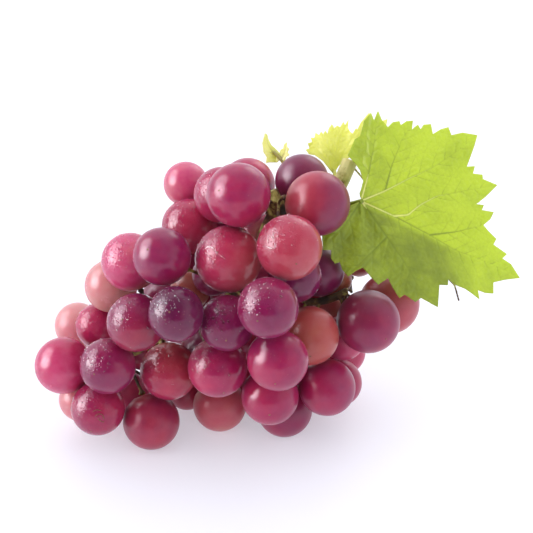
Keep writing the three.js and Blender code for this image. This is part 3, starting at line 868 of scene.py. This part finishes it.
@dataclass
class Grapes:
    """Every berry of the bunch, with the scars of the flowers."""

    sides: int = 60
    rings: int = 38
    pit_depth: float = 0.11
    pit_reach: float = 0.34
    stretch: float = 0.008
    floor_flat: float = 0.02 * MM
    shoulder_paler: float = 0.12
    shoulder_warmer: float = 0.35
    scar_radius: float = 0.42 * MM
    scar_seat: float = 0.990
    floor_clearance: float = 0.8 * MM
    russet_radius: float = 0.14 * MM
    seed: int = 11
    balls: list[Ball] = field(default_factory=list)
    inner: list[Ball] = field(default_factory=list)

    def model_grape(self) -> bpy.types.Object:
        """Model one berry: a ball with a soft pit.

        Returns:
            The berry, of radius 1 and with its stem end up.
        """
        deselect_all()
        bpy.ops.mesh.primitive_uv_sphere_add(
            segments=self.sides, ring_count=self.rings, radius=1.0, location=(0, 0, 0),
        )
        grape = bpy.context.object
        with editing("DESELECT"):
            bpy.ops.mesh.select_mode(type="VERT")
        top = max(grape.data.vertices, key=lambda vertex: vertex.co.z)
        top.select = True
        bpy.ops.object.mode_set(mode="EDIT")
        bpy.ops.transform.translate(
            value=(0, 0, -self.pit_depth), use_proportional_edit=True,
            proportional_edit_falloff="SMOOTH", proportional_size=self.pit_reach,
        )
        bpy.ops.object.mode_set(mode="OBJECT")
        bpy.ops.object.shade_smooth()
        return grape

    def set_blush(self, mesh: bpy.types.Mesh, ball: Ball, outward: np.ndarray,
                  blush: Blush) -> None:
        """Store the ripeness and the warmth at each vertex of a berry, with its painted glow and
        shade towards one side.

        Args:
            mesh: The berry's mesh.
            ball: The berry.
            outward: Direction of each vertex from the centre.
            blush: Its colour, with its painted light towards one side.
        """
        # Paler and warmer towards the blush's side as seen from the front: painted light, a glow,
        # or painted shade where the amounts are negative. Also paler and warmer near the stem end.
        side = VIEW.right * blush.right + VIEW.upward * blush.up
        painted_light_side = smooth_step(outward @ np.array(side.normalized()) * 0.6 + 0.4)
        shoulder = smooth_step((outward @ np.array(ball.stem_end) - 0.62) / 0.38)
        paler_with_painted_light = blush.paler_with_painted_light * painted_light_side + self.shoulder_paler * shoulder
        warmer_with_painted_light = blush.warmer_with_painted_light * painted_light_side + self.shoulder_warmer * shoulder
        set_value(mesh, "ripeness", blush.ripeness - paler_with_painted_light)
        set_value(mesh, "warmth", blush.warmth + warmer_with_painted_light)

    def place_grape(self, grape: bpy.types.Object, ball: Ball, blush: Blush,
                    draw: random.Random) -> bpy.types.Object:
        """Copy the modelled berry to its place, pit to its stem end, flat on the floor.

        Args:
            grape: The modelled berry.
            ball: The place.
            blush: The colour.
            draw: Random numbers.

        Returns:
            The new berry.
        """
        turn = ABOVE.rotation_difference(ball.stem_end)
        spin = Quaternion(ABOVE, draw.uniform(0, 2 * math.pi))
        sizes = [ball.radius * (1 - draw.uniform(0, self.stretch)) for _ in range(2)]
        piece = new_piece(f"grape_{ball.number:02d}", grape.data.copy())
        piece.data.transform(
            Matrix.Translation(ball.centre) @ (turn @ spin).to_matrix().to_4x4()
            @ Matrix.Diagonal((*sizes, ball.radius, 1)),
        )
        if ball.centre.z < ball.radius:
            pick(piece)
            with editing("SELECT"):
                bpy.ops.mesh.bisect(
                    plane_co=(0, 0, self.floor_flat), plane_no=-ABOVE, use_fill=True,
                    clear_outer=True,
                )
        outward = places_of(piece.data) - np.array(ball.centre)
        outward /= np.linalg.norm(outward, axis=1)[:, None]
        self.set_blush(piece.data, ball, outward, blush)
        wet_side = smooth_step((outward @ np.array(WET_SIDE) - 0.35) / 0.5)
        set_value(piece.data, "wet", wet_side * (ball.number in WET))
        shine = 1.0 if ball.number in WET else RUBBED_SHINE * (ball.number in POLISHED)
        set_value(piece.data, "washed", np.full(len(outward), shine))
        return piece

    def add_scars(self, finish: bpy.types.Material) -> None:
        """Add the small dry scar that the flower left on each berry, and the russet lines."""
        deselect_all()
        bpy.ops.mesh.primitive_uv_sphere_add(segments=10, ring_count=6, radius=1.0)
        bump = bpy.context.object
        bump.data.transform(Matrix.Diagonal((1, 1, 0.45, 1)))
        copies = []
        for ball in self.balls:
            direction = -ball.stem_end
            if ball.number in SCARS:
                direction = VIEW.on_ball(ball.centre, ball.radius, *SCARS[ball.number])
            if ball.centre.z + direction.z * ball.radius < self.floor_clearance:
                continue
            spot = ball.centre + direction * ball.radius * self.scar_seat
            sizes = (self.scar_radius,) * 3
            copies.append(copy_onto("scar", bump.data, spot, direction, sizes))
        bpy.data.objects.remove(bump)
        copies += [
            ball.strand("russet", line, self.russet_radius)
            for ball in self.balls for line in RUSSET.get(ball.number, [])
        ]
        mount(join_pieces("flower_scars", copies, finish), "stem")

    def add_inner(self, grape: bpy.types.Object, finishes: dict, stalk: bpy.types.Object,
                  draw: random.Random) -> None:
        """Add the berries deep inside, each with its stem end to the nearest stem.

        Args:
            grape: The modelled berry.
            finishes: Material of each tint.
            stalk: The CAD stalk.
            draw: Random numbers.
        """
        stems = places_of(stalk.data)
        for i, (x, y, z, radius, ripeness) in enumerate(INNER):
            centre = Vector((x, y, z)) * MM
            nearest = stems[np.linalg.norm(stems - np.array(centre), axis=1).argmin()]
            ball = Ball(
                FIRST_INNER + i, centre, radius * MM, (Vector(nearest) - centre).normalized(),
            )
            self.inner.append(ball)
            piece = self.place_grape(grape, ball, Blush(ripeness), draw)
            dress(piece, finishes[Tint.CRIMSON])
            mount(piece, Tint.CRIMSON.slot)

    def build(self, nodes: dict, effects: SharedEffects) -> None:
        """Build and dress every berry.

        Args:
            nodes: The CAD objects by name.
            effects: The shared node groups.
        """
        skins = {
            Tint.AMBER: GrapeSkin("skin_amber", 0.34, 0.33, 0.17, 0.07, 0.7),
            Tint.PINK: GrapeSkin("skin_pink", 0.36, 0.31, 0.16, 0.06, 0.65),
            Tint.CRIMSON: GrapeSkin("skin_crimson", 0.36, 0.31, 0.16, 0.06, 0.55),
            Tint.PURPLE: GrapeSkin("skin_purple", 0.28, 0.31, 0.17, 0.03, 0.45),
        }
        finishes = {tint: skin.material(effects) for tint, skin in skins.items()}
        draw = random.Random(self.seed)
        grape = self.model_grape()
        for name in sorted(node for node in nodes if node.startswith("berry_")):
            ball = Ball.of_node(int(name.split("_")[1]), nodes[name])
            self.balls.append(ball)
            hidden = Blush(draw.uniform(0.42, 0.72), draw.uniform(0, 0.25))
            piece = self.place_grape(grape, ball, BLUSHES.get(ball.number, hidden), draw)
            tint = Tint.of_berry(ball.number)
            dress(piece, finishes[tint])
            mount(piece, tint.slot, name)
        self.add_inner(grape, finishes, nodes["stalk"], draw)
        bpy.data.objects.remove(grape)
        self.add_scars(ScarSkin().material())


@dataclass
class Dew:
    """Fine drops of water on the upper left of the front berries."""

    smallest: float = 0.20 * MM
    largest: float = 0.60 * MM
    height_share: float = 0.62
    sunk_share: float = 0.12
    spread: float = 0.38
    apart: float = 0.1 * MM
    run_radius: float = 0.34 * MM
    sides: int = 10
    rings: int = 6
    seed: int = 5

    def build(self, balls: list[Ball]) -> None:
        """Build the drops on the wet berries.

        Args:
            balls: Places of the berries.
        """
        draw = random.Random(self.seed)
        deselect_all()
        bpy.ops.mesh.primitive_uv_sphere_add(
            segments=self.sides, ring_count=self.rings, radius=1.0, location=(0, 0, 0),
        )
        drop = bpy.context.object
        drop.data.transform(Matrix.Diagonal((1, 1, self.height_share, 1)))
        bpy.ops.object.shade_smooth()
        copies = []
        for ball in balls:
            taken: list[tuple[Vector, float]] = []
            for _ in range(WET.get(ball.number, 0)):
                away = Vector([draw.gauss(0, self.spread) for _ in range(3)])
                direction = (WET_SIDE + away).normalized()
                size = self.smallest + (self.largest - self.smallest) * draw.random() ** 3
                spot = ball.centre + direction * (ball.radius - self.sunk_share * size)
                if direction.dot(-VIEW.forward) < 0 or any(
                    (spot - other).length < size + reach + self.apart for other, reach in taken
                ):
                    continue
                taken.append((spot, size))
                sizes = (size * draw.uniform(0.85, 1.2), size, size)
                copies.append(copy_onto("drop", drop.data, spot, direction, sizes))
        bpy.data.objects.remove(drop)
        copies += [
            ball.strand("run", line, self.run_radius)
            for ball in balls for line in RUNS.get(ball.number, [])
        ]
        mount(join_pieces("dew", copies, WaterSkin().material()), None)


@dataclass
class Stalk:
    """Rachis, shoulder, pedicels, shoot and tendril in one grown piece."""

    voxel: float = 0.32 * MM
    smoothing: int = 5
    kept_share: float = 0.6
    stem_radius: float = 0.7 * MM
    stem_seat: float = 0.85
    old: float = 0.74
    younger: float = 0.70
    young_spots: tuple = ((325, 200, -6, 16), (350, 161, -5, 16), (273, 200, 0, 5))

    def build(self, effects: SharedEffects, held: list[Ball]) -> None:
        """Build the stalk from its CAD node: rounded, with a stem for each berry inside.

        Args:
            effects: The shared node groups.
            held: The berries that only this stalk reaches.
        """
        stalk = joined_copy("stalk_grown", "stalk")
        corners = places_of(stalk.data)
        stems = []
        for ball in held:
            away = np.linalg.norm(corners - np.array(ball.centre), axis=1)
            near = Vector(corners[away.argmin()])
            start = ball.centre + ball.stem_end * ball.radius * self.stem_seat
            onward = near + ball.stem_end * self.stem_radius
            route = [start, (start + onward) / 2, onward]
            stems.append(round_stem("stem", route, self.stem_radius))
        join([stalk, *stems])
        apply_modifier(stalk, "REMESH", mode="VOXEL", voxel_size=self.voxel, adaptivity=0.0)
        apply_modifier(stalk, "SMOOTH", factor=0.5, iterations=self.smoothing)
        apply_modifier(stalk, "DECIMATE", ratio=self.kept_share)
        bpy.ops.object.shade_smooth()
        places = places_of(stalk.data)
        young = np.zeros(len(places))
        for column, row, depth, reach in self.young_spots:
            away = np.linalg.norm(places - np.array(VIEW.spot(column, row, depth * MM)), axis=1)
            young = np.maximum(young, smooth_step(1.5 - away / (reach * MM)))
        set_value(stalk.data, "age", self.old - self.younger * young)
        dress(stalk, Bark().material(effects))
        mount(stalk, "stem", "stalk")


@dataclass
class Leaf:
    """A leaf blade: its outline and main veins in the frame, and how it stands in depth."""

    name: str
    node: str
    slot: str
    finish: LeafSkin
    outline: list[tuple[float, float]]
    veins: list[list[tuple[float, float]]]
    grid: float = 1.1
    thickness: float = 0.3 * MM
    puff: float = 0.85 * MM
    puff_reach: float = 5.0
    back_set: float = 0.4 * MM
    vein_height: float = 0.10 * MM
    vein_width: float = 1.5
    branch_gap: float = 13.0
    branch_angle: float = math.radians(48)
    pale_shares: tuple[float, ...] = ()
    petiole: list[tuple[float, float, float]] = field(default_factory=list)
    petiole_radius: float = 0.9 * MM
    seed: int = 3

    def depth_at(self, columns: np.ndarray, rows: np.ndarray) -> np.ndarray:
        """Depth of the blade at places in the frame, in metres, which each leaf states."""
        raise NotImplementedError

    def shade_at(self, columns: np.ndarray, rows: np.ndarray) -> np.ndarray:
        """How deep the green is at places in the frame, 0 to 1, which each leaf states."""
        raise NotImplementedError

    def inside(self, points: np.ndarray) -> np.ndarray:
        """Whether each place in the frame lies inside the outline."""
        result = np.zeros(len(points), bool)
        corners = np.array(self.outline)
        for (x0, y0), (x1, y1) in zip(corners, np.roll(corners, -1, axis=0)):
            crosses = (y0 > points[:, 1]) != (y1 > points[:, 1])
            with np.errstate(divide="ignore", invalid="ignore"):
                at = (x1 - x0) * (points[:, 1] - y0) / (y1 - y0) + x0
            result ^= crosses & (points[:, 0] < at)
        return result

    def branch(self, start: np.ndarray, heading: float, bend: float,
               others: np.ndarray) -> list[tuple[float, float]]:
        """Side vein from a start, until it leaves the blade or meets another vein.

        Args:
            start: Where it leaves its vein.
            heading: Its direction at first, in radians.
            bend: How much it turns at each step.
            others: Points of the veins that it may not cross.

        Returns:
            The points of the side vein.
        """
        points = [tuple(start)]
        place = np.array(start, float)
        for step in range(60):
            place = place + 2.0 * np.array([math.cos(heading), math.sin(heading)])
            heading += bend
            if not self.inside(place[None])[0]:
                break
            if step > 3 and np.min(np.linalg.norm(others - place, axis=1)) < 2.5:
                break
            points.append(tuple(place))
        return points

    def vein_lines(self) -> list[tuple[list[tuple[float, float]], float]]:
        """Lines of every vein: the main ones, then their branches in turn.

        Returns:
            The points and the width of each vein.
        """
        draw = random.Random(self.seed)
        lines = [(vein, self.vein_width) for vein in self.veins]
        order = lines
        for level, (gap, least) in enumerate([(self.branch_gap, 8), (self.branch_gap * 0.62, 6)]):
            reached = np.array([p for line, _ in lines for p in evenly(line, 1.5)])
            added = []
            for line, width in order:
                along = evenly(line, 1.0)
                side = draw.choice([-1, 1])
                place = gap * draw.uniform(0.5, 0.9)
                while place < len(along) - 3:
                    i = int(place)
                    heading = math.atan2(*(along[i + 1] - along[i])[::-1])
                    turn = self.branch_angle * draw.uniform(0.85, 1.15)
                    start = along[i]
                    others = reached[np.linalg.norm(reached - start, axis=1) > 7]
                    points = self.branch(start, heading + side * turn, -side * 0.010, others)
                    if len(points) * 2 > least:
                        added.append((points, width * (0.62 if level == 0 else 0.55)))
                    side = -side
                    place += gap * 0.5 * draw.uniform(0.8, 1.2)
            lines = lines + added
            order = added
        return lines

    def vein_mask(self, points: np.ndarray) -> tuple[np.ndarray, np.ndarray, np.ndarray]:
        """Vein strength, how pale the vein is and distance to the nearest larger vein."""
        strength = np.zeros(len(points))
        pale = np.zeros(len(points))
        nearest = np.full(len(points), 1e3)
        shares = dict(enumerate(self.pale_shares))
        for order, (line, width) in enumerate(self.vein_lines()):
            corners = evenly(line, 3.0)
            for i, (a, b) in enumerate(zip(corners[:-1], corners[1:])):
                taper = 1 - 0.7 * i / max(len(corners) - 1, 1)
                low = np.minimum(a, b) - 16
                high = np.maximum(a, b) + 16
                close = np.all((points > low) & (points < high), axis=1)
                if not close.any():
                    continue
                run = b - a
                share = np.clip((points[close] - a) @ run / max(run @ run, 1e-9), 0, 1)
                away = np.linalg.norm(points[close] - a - share[:, None] * run, axis=1)
                reach = width * taper
                here = smooth_step(1.15 - away / max(reach, 0.7)) * min(reach / 1.4, 1) ** 1.6
                strength[close] = np.maximum(strength[close], here)
                faded = smooth_step((shares.get(order, 0) * len(corners) - i) / 4)
                pale[close] = np.maximum(pale[close], here * faded)
                weight = away * (1.5 if width >= self.vein_width else 2.2 - 0.4 * width)
                nearest[close] = np.minimum(nearest[close], weight)
        return strength, pale, nearest

    def make_blade(self) -> bpy.types.Object:
        """Build the blade as a fine sheet with its veins and puffs, then thicken it.

        Returns:
            The blade, with the attributes vein, pale and shade.
        """
        draw = random.Random(self.seed + 1)
        corners = [np.array(p, float) for p in self.outline]
        edge = []
        for a, b in zip(corners, corners[1:] + corners[:1]):
            steps = max(int(np.linalg.norm(b - a) / self.grid), 1)
            edge += [a + (b - a) * i / steps for i in range(steps)]
        low = np.min(corners, axis=0)
        high = np.max(corners, axis=0)
        across = np.arange(low[0], high[0], self.grid)
        down = np.arange(low[1], high[1], self.grid)
        filling = np.array([
            (x + (self.grid / 2 if j % 2 else 0), y) for j, y in enumerate(down) for x in across
        ])
        filling += np.array([[draw.uniform(-0.1, 0.1) for _ in range(2)] for _ in filling])
        filling = filling[self.inside(filling)]
        rim = np.array(edge)
        clear = np.array([np.min(np.abs(rim - p).max(axis=1)) > self.grid * 0.55 for p in filling])
        points = np.vstack([rim, filling[clear]])
        around = len(rim)
        wires = [(i, (i + 1) % around) for i in range(around)]
        flat, _, faces, *_ = delaunay_2d_cdt(
            [Vector(p) for p in points], wires, [list(range(around))], 1, 1e-4,
        )
        places = np.array([tuple(p) for p in flat])
        strength, pale, nearest = self.vein_mask(places)
        depth = self.depth_at(places[:, 0], places[:, 1])
        puff = self.puff * (1 - np.exp(-nearest / self.puff_reach))
        depth = depth + self.back_set - puff + self.vein_height * strength
        mesh = bpy.data.meshes.new(self.name)
        mesh.from_pydata(
            [VIEW.spot(c, r, d) for (c, r), d in zip(places, depth)], [],
            [list(face) for face in faces],
        )
        piece = new_piece(self.name, mesh)
        set_value(mesh, "vein", strength)
        set_value(mesh, "pale", pale)
        set_value(mesh, "shade", self.shade_at(places[:, 0], places[:, 1]))
        pick(piece)
        with editing("SELECT"):
            bpy.ops.mesh.normals_make_consistent(inside=False)
        if sum(p.normal.dot(VIEW.forward) for p in mesh.polygons) > 0:
            mesh.flip_normals()
        apply_modifier(piece, "SOLIDIFY", thickness=self.thickness, offset=-1.0)
        bpy.ops.object.shade_smooth()
        return piece

    def build(self, effects: SharedEffects) -> None:
        """Build and dress the leaf with its stalk.

        Args:
            effects: The shared node groups.
        """
        blade = self.make_blade()
        if self.petiole:
            tube = round_stem(
                "petiole", [VIEW.spot(c, r, d * MM) for c, r, d in self.petiole],
                self.petiole_radius,
            )
            set_value(tube.data, "vein", np.full(len(tube.data.vertices), 0.55))
            set_value(tube.data, "shade", np.full(len(tube.data.vertices), 0.6))
            join([blade, tube])
        dress(blade, self.finish.material(effects))
        mount(blade, self.slot, self.node)


class LargeLeaf(Leaf):
    """The one broad leaf at the right."""

    def depth_at(self, columns: np.ndarray, rows: np.ndarray) -> np.ndarray:
        """It leans back to the right and at the top, and its edges droop."""
        unit = VIEW.scale_at(-20 * MM) / MM
        across = (columns - 361) * unit
        up = (201 - rows) * unit
        outwards = np.hypot(across - 15, up + 3)
        ripple = np.sin(np.arctan2(up, across) * 9) * outwards * 0.03
        depth = -21 + across * 0.22 + up * 0.22 + outwards ** 2 * 0.0045 + ripple
        return depth * MM

    def shade_at(self, columns: np.ndarray, rows: np.ndarray) -> np.ndarray:
        """Its lower left lies in its own shade."""
        below = smooth_step((rows - 203 - (columns - 361) * 0.5) / 10 + 0.5)
        below = below * (1 - 0.8 * smooth_step((columns - 438) / 45))
        near_stalk = smooth_step((405 - columns) / 50)
        return 0.06 + 0.34 * near_stalk * (1 - below) + 0.72 * below


class YoungLeaf(Leaf):
    """The pale leaf that stands up behind the shoot."""

    def depth_at(self, columns: np.ndarray, rows: np.ndarray) -> np.ndarray:
        """It leans back and is waved from side to side."""
        unit = VIEW.scale_at(0) / MM
        across = (columns - 334) * unit
        up = (174 - rows) * unit
        return (1 + across * 0.15 + up * 0.25 + np.sin(across * 0.5) * 1.2) * MM

    def shade_at(self, columns: np.ndarray, rows: np.ndarray) -> np.ndarray:
        """Greener towards its stalk."""
        return smooth_step((rows - 135) / 45)


class TipLeaf(Leaf):
    """The small leaf still folded at the tip of the side shoot."""

    def depth_at(self, columns: np.ndarray, rows: np.ndarray) -> np.ndarray:
        """Deepest along its fold."""
        return (8 - np.abs(columns - 276) * 0.22) * MM

    def shade_at(self, columns: np.ndarray, rows: np.ndarray) -> np.ndarray:
        """Greener along its fold."""
        return 0.7 - 0.6 * smooth_step(np.abs(columns - 274) / 9)


# Outlines and main veins of the leaves, as places in the 533 frame
LARGE_OUTLINE = [
    (361, 201), (360, 193), (363, 181), (360, 170), (356, 164), (348, 155), (352, 146),
    (355, 139), (360, 136), (364, 121), (371, 112.5), (374, 120), (378, 110.5), (382, 120),
    (388, 127), (393, 122), (399.5, 121), (401, 125), (406.5, 121), (413, 120.5), (412, 129.5),
    (418, 124.5), (420.5, 129), (424, 124.5), (431, 124), (433, 134), (441, 129), (448.5, 127),
    (451.5, 135), (462.5, 132.5), (477.5, 135), (474.5, 146), (467, 166.5), (475, 166),
    (473, 173.5), (482.5, 174.5), (483, 179), (497.5, 185), (487, 195.5), (476.5, 204),
    (484, 205), (482, 210), (494, 212), (490.5, 219), (483.5, 225), (488.5, 231), (496.5, 239),
    (493.5, 244.5), (507, 254), (502.5, 258.5), (511, 264), (520, 278), (504, 280),
    (493.5, 282.5), (493.5, 293.5), (486, 293), (478, 290), (479.5, 299), (473, 294),
    (465, 288.5), (456, 285), (448.5, 279), (448, 285), (439.5, 285), (438, 307), (431, 303.5),
    (421, 298), (415.5, 302), (410, 298), (404.5, 294.5), (399.5, 298), (394, 289.5),
    (388, 278), (378.5, 284.5), (372, 278), (368, 273), (363, 267.5), (355, 271), (348, 276.5),
    (342.5, 270), (340, 262), (335, 263.5), (331.5, 258.5), (331.5, 250), (323, 250),
    (322, 236), (332, 215), (350, 206),
]
LARGE_VEINS = [
    [(361, 201), (385, 191), (410, 178), (432, 168), (455, 153), (477, 135)],
    [(361, 201), (394, 216), (430, 235), (455, 250), (487, 262), (519, 277)],
    [(394, 216), (408, 215), (420, 205), (437, 196), (470, 190), (497, 185)],
    [(361, 201), (370, 213), (387, 237), (405, 263), (420, 290), (437, 305)],
    [(361, 201), (369, 172), (374, 145), (378, 112)],
    [(361, 201), (345, 225), (330, 240)],
    [(430, 235), (455, 232), (480, 226), (495, 213)],
    [(385, 191), (392, 165), (402, 140), (412, 124)],
    [(387, 237), (372, 252), (348, 275)],
]
YOUNG_OUTLINE = [
    (334, 174), (323, 161), (314.5, 155), (309, 154), (306, 149.5), (309.5, 148.5), (308, 143),
    (311.8, 142), (311, 137.5), (314.3, 137.8), (315.5, 132.5), (319, 135), (321, 131.5),
    (323, 134), (325.5, 130.5), (327.5, 133.5), (329.5, 127.5), (332, 124), (334.5, 128),
    (337.5, 125.5), (340, 127), (343.5, 121.5), (345, 125), (349, 118.8), (347.5, 127),
    (349.5, 131), (352.5, 133.5), (356, 128), (357.5, 129.5), (361.5, 122),
    (369.5, 112.5), (372, 124), (387.5, 119), (384, 134), (376, 142), (378, 150), (366, 152),
    (360, 158), (350, 157), (343, 161), (338.5, 166),
]
YOUNG_VEINS = [
    [(334, 174), (336, 152), (341, 137), (349, 121)],
    [(334, 174), (345, 150), (356, 133), (369, 114)],
    [(334, 173), (326, 158), (316, 148), (307, 150)],
    [(336, 158), (325, 145), (317, 133)],
]
TIP_OUTLINE = [
    (270, 162.5), (266, 163), (266.8, 157), (263.5, 152), (262.5, 143), (265, 133),
    (267.5, 134.5), (268.5, 139), (271.5, 145), (275, 148), (279.5, 153), (280.5, 149.5),
    (283, 148.5), (284, 144.5), (286.5, 142), (287, 146.5), (289.3, 149), (287.5, 152),
    (289.5, 155), (286, 157), (284.5, 161), (280, 159.5), (277, 162.5),
]
TIP_VEINS = [[(282, 160), (274, 154), (268, 145), (266, 134)], [(281, 159), (285, 152), (286, 143)]]


@dataclass
class Studio:
    """White table, soft light and the camera.

    Mirror-like rays see a room with bright walls and two window panes, and a dark side
    where the camera stands. All other rays see even light.
    """

    floor_size: float = 12.0
    floor_drop: float = 0.05 * MM
    table_colour: str = "#c5c8ce"
    table_glow: float = 0.42
    surround: float = 1.25
    room_side: float = 0.08
    bright_side: float = 1.3
    right_side: float = 0.9
    left_side: float = 0.9
    pane_edge: tuple[float, float] = (0.90, 0.945)
    panes: tuple = (((-0.926, -0.17, 0.34), 11.0), ((-0.82, 0.16, 0.58), 7.0))
    lights: tuple = (
        ("window", (-1.02, -0.19, 0.42), 0.50, 2.7, "#fffaf2"),
        ("ceiling", (0.1, 0.15, 1.3), 1.4, 1.5, "#ffffff"),
        ("behind", (0.45, 0.85, 0.65), 0.5, 1.5, "#fffbf2"),
    )
    lit_point: tuple[float, float, float] = (0, 0, 50 * MM)

    def lay_table(self) -> None:
        """Lay the white table just under the bunch. It glows, painted light that lifts the shade on
        it and on the undersides of the berries.
        """
        deselect_all()
        bpy.ops.mesh.primitive_plane_add(size=self.floor_size, location=(0, 0, -self.floor_drop))
        floor = bpy.context.object
        floor.name = "table"
        material, _, surface = new_material("white_table")
        set_sockets(surface, {
            "Base Color": linear(self.table_colour), "Roughness": 0.5,
            "Emission Color": linear("#f6f6ff"), "Emission Strength": self.table_glow,
        })
        floor.data.materials.append(material)

    def light_room(self) -> None:
        """Light the world round the bunch."""
        world = bpy.data.worlds.new("white_room")
        bpy.context.scene.world = world
        world.use_nodes = True
        background = world.node_tree.nodes["Background"]
        sheet = NodeSheet(world.node_tree)
        direction = sheet.add("TexCoord").outputs["Generated"]
        axes = sheet.add("SeparateXYZ", {0: direction})
        behind = sheet.span(axes.outputs["Y"], 0.0, 0.5, self.room_side, self.bright_side)
        right = sheet.span(axes.outputs["X"], 0.35, 0.75, 0.0, self.right_side)
        left = sheet.span(axes.outputs["X"], -0.55, -0.85, 0.0, self.left_side)
        lit = sheet.math("MAXIMUM", behind, sheet.math("MAXIMUM", right, left))
        for towards, glare in self.panes:
            facing = sheet.add(
                "VectorMath", {0: direction, 1: Vector(towards).normalized()},
                operation="DOT_PRODUCT",
            ).outputs["Value"]
            pane = sheet.span(facing, *self.pane_edge, 0.0, glare)
            lit = sheet.math("MAXIMUM", lit, pane)
        mirrored = sheet.add("LightPath").outputs["Is Glossy Ray"]
        soft = sheet.math("MULTIPLY", sheet.math("SUBTRACT", 1.0, mirrored), self.surround)
        strength = sheet.math("ADD", sheet.math("MULTIPLY", lit, mirrored), soft)
        set_sockets(background, {"Color": linear("#f9f8ff")})
        sheet.link(strength, background.inputs["Strength"])

    def add_light(self, name: str, place: tuple[float, float, float], size: float,
                  power: float, colour: str) -> None:
        """Add a square light that faces the bunch.

        Args:
            name: Name of the light.
            place: Where it stands.
            size: Length of its side.
            power: Its power in watts.
            colour: Hex code of its colour.
        """
        data = bpy.data.lights.new(name, "AREA")
        data.shape = "SQUARE"
        data.size = size
        data.energy = power
        data.color = linear(colour)[:3]
        light = bpy.data.objects.new(name, data)
        bpy.context.scene.collection.objects.link(light)
        light.location = place
        aim = Vector(self.lit_point) - Vector(place)
        light.rotation_euler = aim.to_track_quat("-Z", "Y").to_euler()

    def add_camera(self) -> None:
        """Put up the camera at the place of the photograph's."""
        data = bpy.data.cameras.new("camera")
        data.sensor_fit = "HORIZONTAL"
        data.angle = 2 * math.atan(VIEW.frame / 2 / VIEW.focal)
        camera = bpy.data.objects.new("camera", data)
        bpy.context.scene.collection.objects.link(camera)
        camera.location = Vector(VIEW.aim) - VIEW.forward * VIEW.distance
        camera.rotation_euler = VIEW.forward.to_track_quat("-Z", "Y").to_euler()
        bpy.context.scene.camera = camera
        bpy.context.scene.view_settings.view_transform = "Standard"

    def build(self) -> None:
        """Lay the table, set the lights and put up the camera."""
        self.lay_table()
        self.light_room()
        for light in self.lights:
            self.add_light(*light)
        self.add_camera()


def build_leaves(effects: SharedEffects) -> None:
    """Build the three leaves.

    Args:
        effects: The shared node groups.
    """
    LargeLeaf(
        "large_leaf_blade", "large_leaf", "leaf_green",
        LeafSkin("leaf_green_skin", "#abc02e", "#6f8022", "#63761f", "#dadf8e"),
        LARGE_OUTLINE, LARGE_VEINS, pale_shares=(0.75, 0.24, 0.6, 0.1, 0.35),
        petiole=[(325, 208, -6), (338, 208, -10), (350, 204, -14), (362, 201, -20)],
    ).build(effects)
    YoungLeaf(
        "young_leaf_blade", "young_leaf", "leaf_young",
        LeafSkin("leaf_young_skin", "#d9dd78", "#a9af48", "#b9bc58", "#e3e190"),
        YOUNG_OUTLINE, YOUNG_VEINS,
        grid=0.9, branch_gap=9, vein_width=1.1,
        petiole=[(338, 187, -6), (336, 180, -1), (334, 170, 2)], petiole_radius=0.8 * MM,
    ).build(effects)
    TipLeaf(
        "tip_leaf_blade", "tip_leaf", "leaf_young",
        LeafSkin("leaf_tip_skin", "#e2e5a0", "#b3b868", "#978a4e", "#a2945a"),
        TIP_OUTLINE, TIP_VEINS,
        grid=0.7, branch_gap=6, vein_width=1.4, puff=0.2 * MM,
        petiole=[
            (303, 222, -10), (299, 211, 0), (296, 196, 6), (290, 176, 9), (283, 160, 8),
            (273, 151, 7),
        ],
        petiole_radius=0.8 * MM,
    ).build(effects)


def main() -> None:
    """Build the pieces in order."""
    logging.basicConfig(level=logging.INFO, format="%(name)s %(message)s")
    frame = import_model()
    effects = SharedEffects.build()
    Studio().build()
    grapes = Grapes()
    grapes.build(frame["nodes"], effects)
    Dew().build(grapes.balls)
    Stalk().build(effects, grapes.inner)
    build_leaves(effects)


if __name__ == "__main__":
    main()
